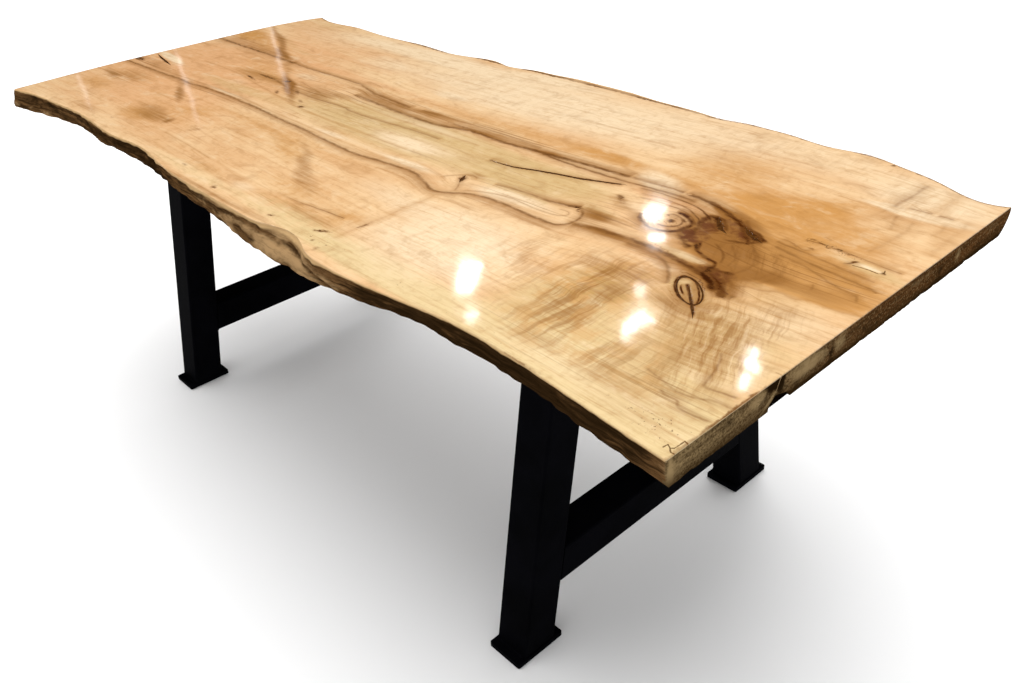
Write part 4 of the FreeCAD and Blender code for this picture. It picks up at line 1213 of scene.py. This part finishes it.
def sawnEndColour(tree, place, lip):        # speckled end grain, darker towards its lower edge, with a painted shade that darkens it from the near corner to the far side
    straw, endLight, endDark = parted(tree, stored(tree, "toneC"))
    layers = noiseAt(tree, place, (40, 14, 150), 4, 0.6, 0.4)
    blotch = noiseAt(tree, place, (1, 60, 110), 4, 0.65, 0.6)
    grit = noiseAt(tree, place, (1, 230, 260), 3, 0.7)
    flecks = use(tree, darkSpecks, {"Vector": place, "Size": 420.0, "Amount": 0.9})["Mask"]
    # painted shade: light at the near corner, dark towards the far side
    nearToFar = ramp(tree, parted(tree, place)[1], -0.47, 0.02)
    shade = blend(tree, nearToFar, slabColours["endNear"], slabColours["endFar"])
    for mask, name in (
            (ramp(tree, layers, 0.42, 0.62, 0.0, 0.55), "endDark"),
            (times(tree, flecks, 0.7), "endDark"),
            (ramp(tree, grit, 0.50, 0.64, 0.0, 0.70), "endDark"),
            (ramp(tree, grit, 0.46, 0.34, 0.0, 0.55), "endLight"),
            (ragged(tree, endLight, blotch, 1.3, 0.1, 1.0), "endLight"),
            (ragged(tree, endDark, blotch, 1.3, 0.2, 0.9), "edgeDark"),
            (ramp(tree, blotch, 0.58, 0.70, 0.0, 0.7), "endDark"),
            (ramp(tree, lip, 5.0, 11.0, 0.0, 0.75), "endDark")):
        shade = blend(tree, mask, shade, slabColours[name])
    return shade


def liveEdgeColour(tree, place, lip, streak, patch):
    # a pale lip under the rim, a painted highlight, then dark streaked wood with a painted shade: darker in
    # grooves, in the notch and on the shaded right part, lighter on ridges
    colour = slabColours
    # the stored fold value is the edge's painted shade
    fold = parted(tree, stored(tree, "marks"))[2]
    lightness = timesPlus(tree, patch, 3.6, calc(tree, "ADD", fold, -1.8))
    shade = blend(tree, ramp(tree, streak, 0.35, 0.62, 0.15, 1.0), colour["edgeDark"], colour["edgeMid"])
    shade = blend(tree, ramp(tree, lightness, 0.0, 1.2, 0.0, 0.85), shade, colour["edgeLight"])
    shade = blend(tree, ramp(tree, lightness, -1.2, 0.0, 0.85, 0.0), shade, colour["edgeDark"])
    fibres = noiseAt(tree, place, (26, 26, 300), 5, 0.7, 0.6)
    fibres = times(tree, ramp(tree, fibres, 0.47, 0.62), ramp(tree, lightness, -0.8, 0.8, 0.75, 0.25))
    shade = blend(tree, fibres, shade, colour["edgeDark"])
    lipEdge = calc(tree, "ADD", lip, timesPlus(tree, patch, 1.6, -0.8))
    lipShade = blend(tree, ramp(tree, streak, 0.4, 0.65, 0.0, 0.6), colour["lip"], colour["edgeLight"])
    return blend(tree, ramp(tree, lipEdge, 0.55, 1.15, 1.0, 0.0), shade, lipShade)


def addRim(tree, shade, place, lip, patch):     # a brown shade along the far rim and the sawn end's
    uneven = noiseAt(tree, place, (90, 90, 1), 3, 0.6)
    rim = timesPlus(tree, uneven, -0.55, calc(tree, "ADD", lip, 0.275))
    rim = times(tree, ramp(tree, rim, -0.74, -0.94), ramp(tree, patch, 0.36, 0.58, 0.35, 0.90))
    return blend(tree, rim, shade, slabColours["vein"])


def makeSlabWood():
    colour = slabColours
    material, tree, shader, place = newMaterial("liveEdgeWood")
    grain = use(tree, woodGrain, {"Flow": stored(tree, "flow")})
    lip, side, end = parted(tree, stored(tree, "edge"))
    mottle = noiseAt(tree, place, 60.0, 3, 0.6, 0.5)
    cloud = noiseAt(tree, place, (5, 9, 9), 3)
    base = timesPlus(tree, cloud, 0.5, times(tree, grain["Broad"], 0.5))
    shade = blend(tree, ramp(tree, base, 0.40, 0.60), colour["tanLight"], colour["tanDeep"])
    shade, clear = addPatches(tree, shade, grain, mottle)
    shade = addTexture(tree, shade, grain, mottle, place, clear)
    shade, speck = addFigure(tree, shade, place, clear)
    shade = addLines(tree, shade, place, grain)
    flecks = use(tree, darkSpecks, {"Vector": place, "Size": 300.0, "Amount": speck})["Mask"]
    shade = blend(tree, times(tree, flecks, 0.75), shade, colour["speck"])
    shade = addStrokes(tree, shade, place)
    streak = noiseAt(tree, place, (9, 9, 170), 5, 0.65, 0.3)
    patch = noiseAt(tree, place, (16, 16, 44), 4, 0.6)
    shade = addRim(tree, shade, place, lip, patch)
    edge = liveEdgeColour(tree, place, lip, streak, patch)
    edge = blend(tree, end, edge, sawnEndColour(tree, place, lip))
    relief = times(tree, timesPlus(tree, grain["Fibre"], 0.3, streak), side)
    feed(tree, shader, {
        "Base Color": blend(tree, side, shade, edge),
        "Roughness": timesPlus(tree, grain["Streak"], 0.12, timesPlus(tree, side, 0.18, 0.42)),
        "Coat Weight": calc(tree, "SUBTRACT", 1.0, side),
        "Coat Roughness": 0.065,
        "Specular IOR Level": 0.0,
        "Normal": bump(tree, timesPlus(tree, grain["Fibre"], 0.02, relief), 0.0015, 0.6),
    })
    return material


def finishSlab(mesh, material):
    mesh.shade_smooth()
    mesh.set_sharp_from_angle(angle=math.radians(38))
    mesh.materials.clear()
    mesh.materials.append(material)
    piece = bpy.data.objects.new("slabTop", mesh)
    bpy.context.scene.collection.objects.link(piece)
    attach(piece, "root")
    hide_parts("slab_top")


finishSlab(slabMesh, makeSlabWood())
print("slab finished")


# Materials of the parts that keep their solids

finishColours = {       # the dark and the light colour of each
    "resin": ((0.045, 0.012, 0.001, 1), (0.110, 0.044, 0.008, 1)),
    "bark": ((0.001, 0.0006, 0.0004, 1), (0.006, 0.0035, 0.002, 1)),
    "steel": ((0.0008, 0.0008, 0.0012, 1), (0.0020, 0.0020, 0.0030, 1)),
    "scuff": (0.010, 0.010, 0.012, 1),
    "zinc": ((0.48, 0.48, 0.46, 1), (0.66, 0.66, 0.63, 1)),
    "brass": ((0.50, 0.36, 0.14, 1), (0.70, 0.53, 0.26, 1)),
    "rubber": ((0.012, 0.012, 0.012, 1), (0.028, 0.028, 0.028, 1)),
}


def makeDarkResin():
    material, tree, shader, place = newMaterial("darkResin")
    cloud = noiseAt(tree, place, 160.0, 4, 0.6, 0.5)
    feed(tree, shader, {
        "Base Color": blend(tree, ramp(tree, cloud, 0.35, 0.75), *finishColours["resin"]),
        "Roughness": ramp(tree, cloud, 0.3, 0.8, 0.14, 0.28),
        "Specular IOR Level": 0.04,
        "Coat Weight": 1.0,
        "Coat Roughness": 0.05,
    })
    return material


def makeOldBark():
    material, tree, shader, place = newMaterial("oldBark")
    coarse = noiseAt(tree, place, (60, 150, 220), 5, 0.7, 0.6)
    fine = noiseAt(tree, place, 700.0, 4, 0.6)
    feed(tree, shader, {
        "Base Color": blend(tree, ramp(tree, coarse, 0.35, 0.7), *finishColours["bark"]),
        "Roughness": ramp(tree, fine, 0.3, 0.7, 0.75, 0.95),
        "Specular IOR Level": 0.0,
        "Normal": bump(tree, timesPlus(tree, fine, 0.3, coarse), 0.003, 0.9),
    })
    return material


def makeBlackSteel():
    material, tree, shader, place = newMaterial("blackPowderCoat")
    pebble = noiseAt(tree, place, 900.0, 2)
    cloud = noiseAt(tree, place, 9.0, 4, 0.6)
    scuff = noiseAt(tree, place, (160, 160, 18), 3, 0.7)
    shade = blend(tree, ramp(tree, cloud, 0.3, 0.7), *finishColours["steel"])
    worn = times(tree, ramp(tree, scuff, 0.66, 0.80), ramp(tree, cloud, 0.45, 0.7))
    feed(tree, shader, {
        "Base Color": blend(tree, times(tree, worn, 0.5), shade, finishColours["scuff"]),
        "Roughness": timesPlus(tree, cloud, 0.18, 0.46),
        "Specular IOR Level": 0.005,
        "Normal": bump(tree, pebble, 0.0004, 0.35),
    })
    return material


def makeCloudy(name, colours, roughness, metallic):
    material, tree, shader, place = newMaterial(name)
    cloud = noiseAt(tree, place, 220.0, 4, 0.6)
    feed(tree, shader, {
        "Base Color": blend(tree, ramp(tree, cloud, 0.3, 0.7), *finishColours[colours]),
        "Roughness": timesPlus(tree, cloud, 0.2, roughness),
        "Metallic": metallic,
        "Normal": bump(tree, cloud, 0.0002, 0.3),
    })
    return material


def dressNodes():
    steel = makeBlackSteel()
    zinc = makeCloudy("zincPlate", "zinc", 0.28, 1.0)
    finishes = {
        "_fill": makeDarkResin(),
        "bark_inclusion": makeOldBark(),
        "_bolts": zinc,
        "_washers": zinc,
        "_inserts": makeCloudy("insertBrass", "brass", 0.3, 1.0),
        "_pad_": makeCloudy("padRubber", "rubber", 0.7, 0.0),
    }
    for name, node in nodes.items():
        if name == "slab_top":
            continue
        material = next((finish for part, finish in finishes.items() if part in name), steel)
        node.data.materials.clear()
        node.data.materials.append(material)


dressNodes()
print("frames and fills finished")


# Floor and light

studio = {
    "floorHalf": 30.0,
    "floorShade": 0.90,
    "worldDiffuse": 0.86,
    "worldGlossLow": 0.050,     # what the gloss coat sees near the horizon
    "worldGlossHigh": 0.010,    # and higher up
    "worldGlossTint": (1.0, 0.68, 0.36, 1),
    "sunPower": 2.40,
    "sunSize": 70.0,            # degrees
    "sunTilt": (-10.0, -14.0),  # degrees from upright, about X and about Y
    "lampHeight": 3.0,
    "lampGlow": 1.45,           # brightness of a lamp in the coat
    "glows": ((1.5, 0.022), (3.4, 0.005), (6.0, 0.0016)),       # size and brightness, as shares of a lamp's
    "tubeGlow": 0.85,
}

# Ceiling lamps that the coat mirrors: middle and size in the photograph's pixels, and strength
lampSpots = [
    (659, 207.5, 18, 5, 1.0), (653, 213.5, 18, 8, 1.0), (649, 219.5, 12, 5, 1.0), (658, 222.5, 9, 2, 0.8),
    (656, 237.5, 17, 9, 1.0), (654, 243, 10, 4, 0.8),
    (467, 273, 19, 19, 1.0), (463, 287, 17, 11, 1.0), (476, 267, 9, 10, 1.0), (471, 315, 12, 6, 0.9),
    (641, 292, 11, 6, 0.7), (642, 312, 7, 6, 0.9), (640, 319, 19, 9, 1.0), (650, 320.5, 10, 6, 0.9),
    (631, 327, 14, 9, 1.0), (628, 333, 8, 4, 0.8),
    (755, 352, 6, 5, 0.9), (751, 358, 13, 9, 1.0), (757, 366, 8, 9, 0.9), (748, 365, 6, 6, 0.6),
    (745, 380, 13, 7, 1.0), (742, 387, 9, 6, 0.9),
]
tubeSpots = [((270, 27), (288, 92), 4.0), ((176, 50), (198, 124), 4.0), ((77, 74), (90, 104), 3.6)]


def mirroredPlace(pixelX, pixelY):
    # where the coat's mirror image at a pixel comes from, at the lamps' height
    start = Vector(photoView["place"])
    ray = rayThrough(pixelX, pixelY)
    onTop = start + ray * ((topLevel - start.z) / ray.z)
    back = Vector((ray.x, ray.y, -ray.z))
    return onTop + back * ((studio["lampHeight"] - topLevel) / back.z)


def coatShine(pixelX, pixelY):      # the share of light that the coat mirrors there
    return 0.04 + 0.96 * (1 + rayThrough(pixelX, pixelY).normalized().z) ** 5


def addLamp(name, middle, across, along, glow):
    lamp = bpy.data.lights.new(name, "AREA")
    lamp.shape = "RECTANGLE"
    lamp.size, lamp.size_y = across.length, along.length
    lamp.energy = glow * math.pi * lamp.size * lamp.size_y
    holder = bpy.data.objects.new(name, lamp)
    x = across.normalized()
    z = Vector((0, 0, 1))
    holder.matrix_world = Matrix.Translation(middle) @ Matrix((x, z.cross(x), z)).transposed().to_4x4()
    holder.visible_camera = False
    bpy.context.scene.collection.objects.link(holder)


def addLamps():
    for index, (x, y, width, height, strength) in enumerate(lampSpots):
        middle = mirroredPlace(x, y)
        across = mirroredPlace(x + width / 2, y) - mirroredPlace(x - width / 2, y)
        along = mirroredPlace(x, y + height / 2) - mirroredPlace(x, y - height / 2)
        glow = strength * studio["lampGlow"] / coatShine(x, y)
        addLamp("lamp" + str(index), middle, across, along, glow)
        for size, share in studio["glows"]:
            lifted = middle + Vector((0, 0, 0.002 * size))
            addLamp("glow" + str(index), lifted, across * size, along * size, glow * share)
    for index, (start, end, width) in enumerate(tubeSpots):
        first, last = mirroredPlace(*start), mirroredPlace(*end)
        middleX, middleY = (start[0] + end[0]) / 2, (start[1] + end[1]) / 2
        breadth = mirroredPlace(middleX + width / 2, middleY) - mirroredPlace(middleX - width / 2, middleY)
        run = (last - first).normalized()
        breadth = breadth - run * breadth.dot(run)
        addLamp("tube" + str(index), (first + last) / 2, last - first, breadth, studio["tubeGlow"])


def addSun():
    sun = bpy.data.lights.new("softSun", "SUN")
    sun.energy = studio["sunPower"]
    sun.angle = math.radians(studio["sunSize"])
    holder = bpy.data.objects.new("softSun", sun)
    tiltNear, tiltRight = (math.radians(tilt) for tilt in studio["sunTilt"])
    holder.rotation_euler = (tiltNear, tiltRight, 0)
    holder.visible_glossy = False
    bpy.context.scene.collection.objects.link(holder)


def addWorld():
    world = bpy.data.worlds.new("studio")
    world.use_nodes = True
    tree = world.node_tree
    background = next(node for node in tree.nodes if node.type == "BACKGROUND")
    height = parted(tree, put(tree, "ShaderNodeTexCoord").outputs["Generated"])[2]
    gloss = ramp(tree, height, 0.05, 0.7, studio["worldGlossLow"], studio["worldGlossHigh"])
    isGlossy = put(tree, "ShaderNodeLightPath").outputs["Is Glossy Ray"]
    difference = calc(tree, "SUBTRACT", gloss, studio["worldDiffuse"])
    feed(tree, background, {
        "Strength": timesPlus(tree, difference, isGlossy, studio["worldDiffuse"]),
        "Color": blend(tree, isGlossy, (1, 1, 1, 1), studio["worldGlossTint"]),
    })
    bpy.context.scene.world = world


def addFloor():
    bm = bmesh.new()
    bmesh.ops.create_grid(bm, x_segments=1, y_segments=1, size=studio["floorHalf"])
    bmesh.ops.translate(bm, verts=bm.verts, vec=(0, 0, floorLevel))
    mesh = bpy.data.meshes.new("floor")
    bm.to_mesh(mesh)
    bm.free()
    floor = bpy.data.objects.new("floor", mesh)
    bpy.context.scene.collection.objects.link(floor)
    material, tree, shader, place = newMaterial("paleFloor")
    shade = studio["floorShade"]
    feed(tree, shader, {"Base Color": (shade, shade, shade, 1), "Roughness": 0.9, "Specular IOR Level": 0.1})
    mesh.materials.append(material)


addLamps()
addSun()
addWorld()
addFloor()
bpy.context.scene.view_settings.view_transform = "Standard"
print("light and floor placed")
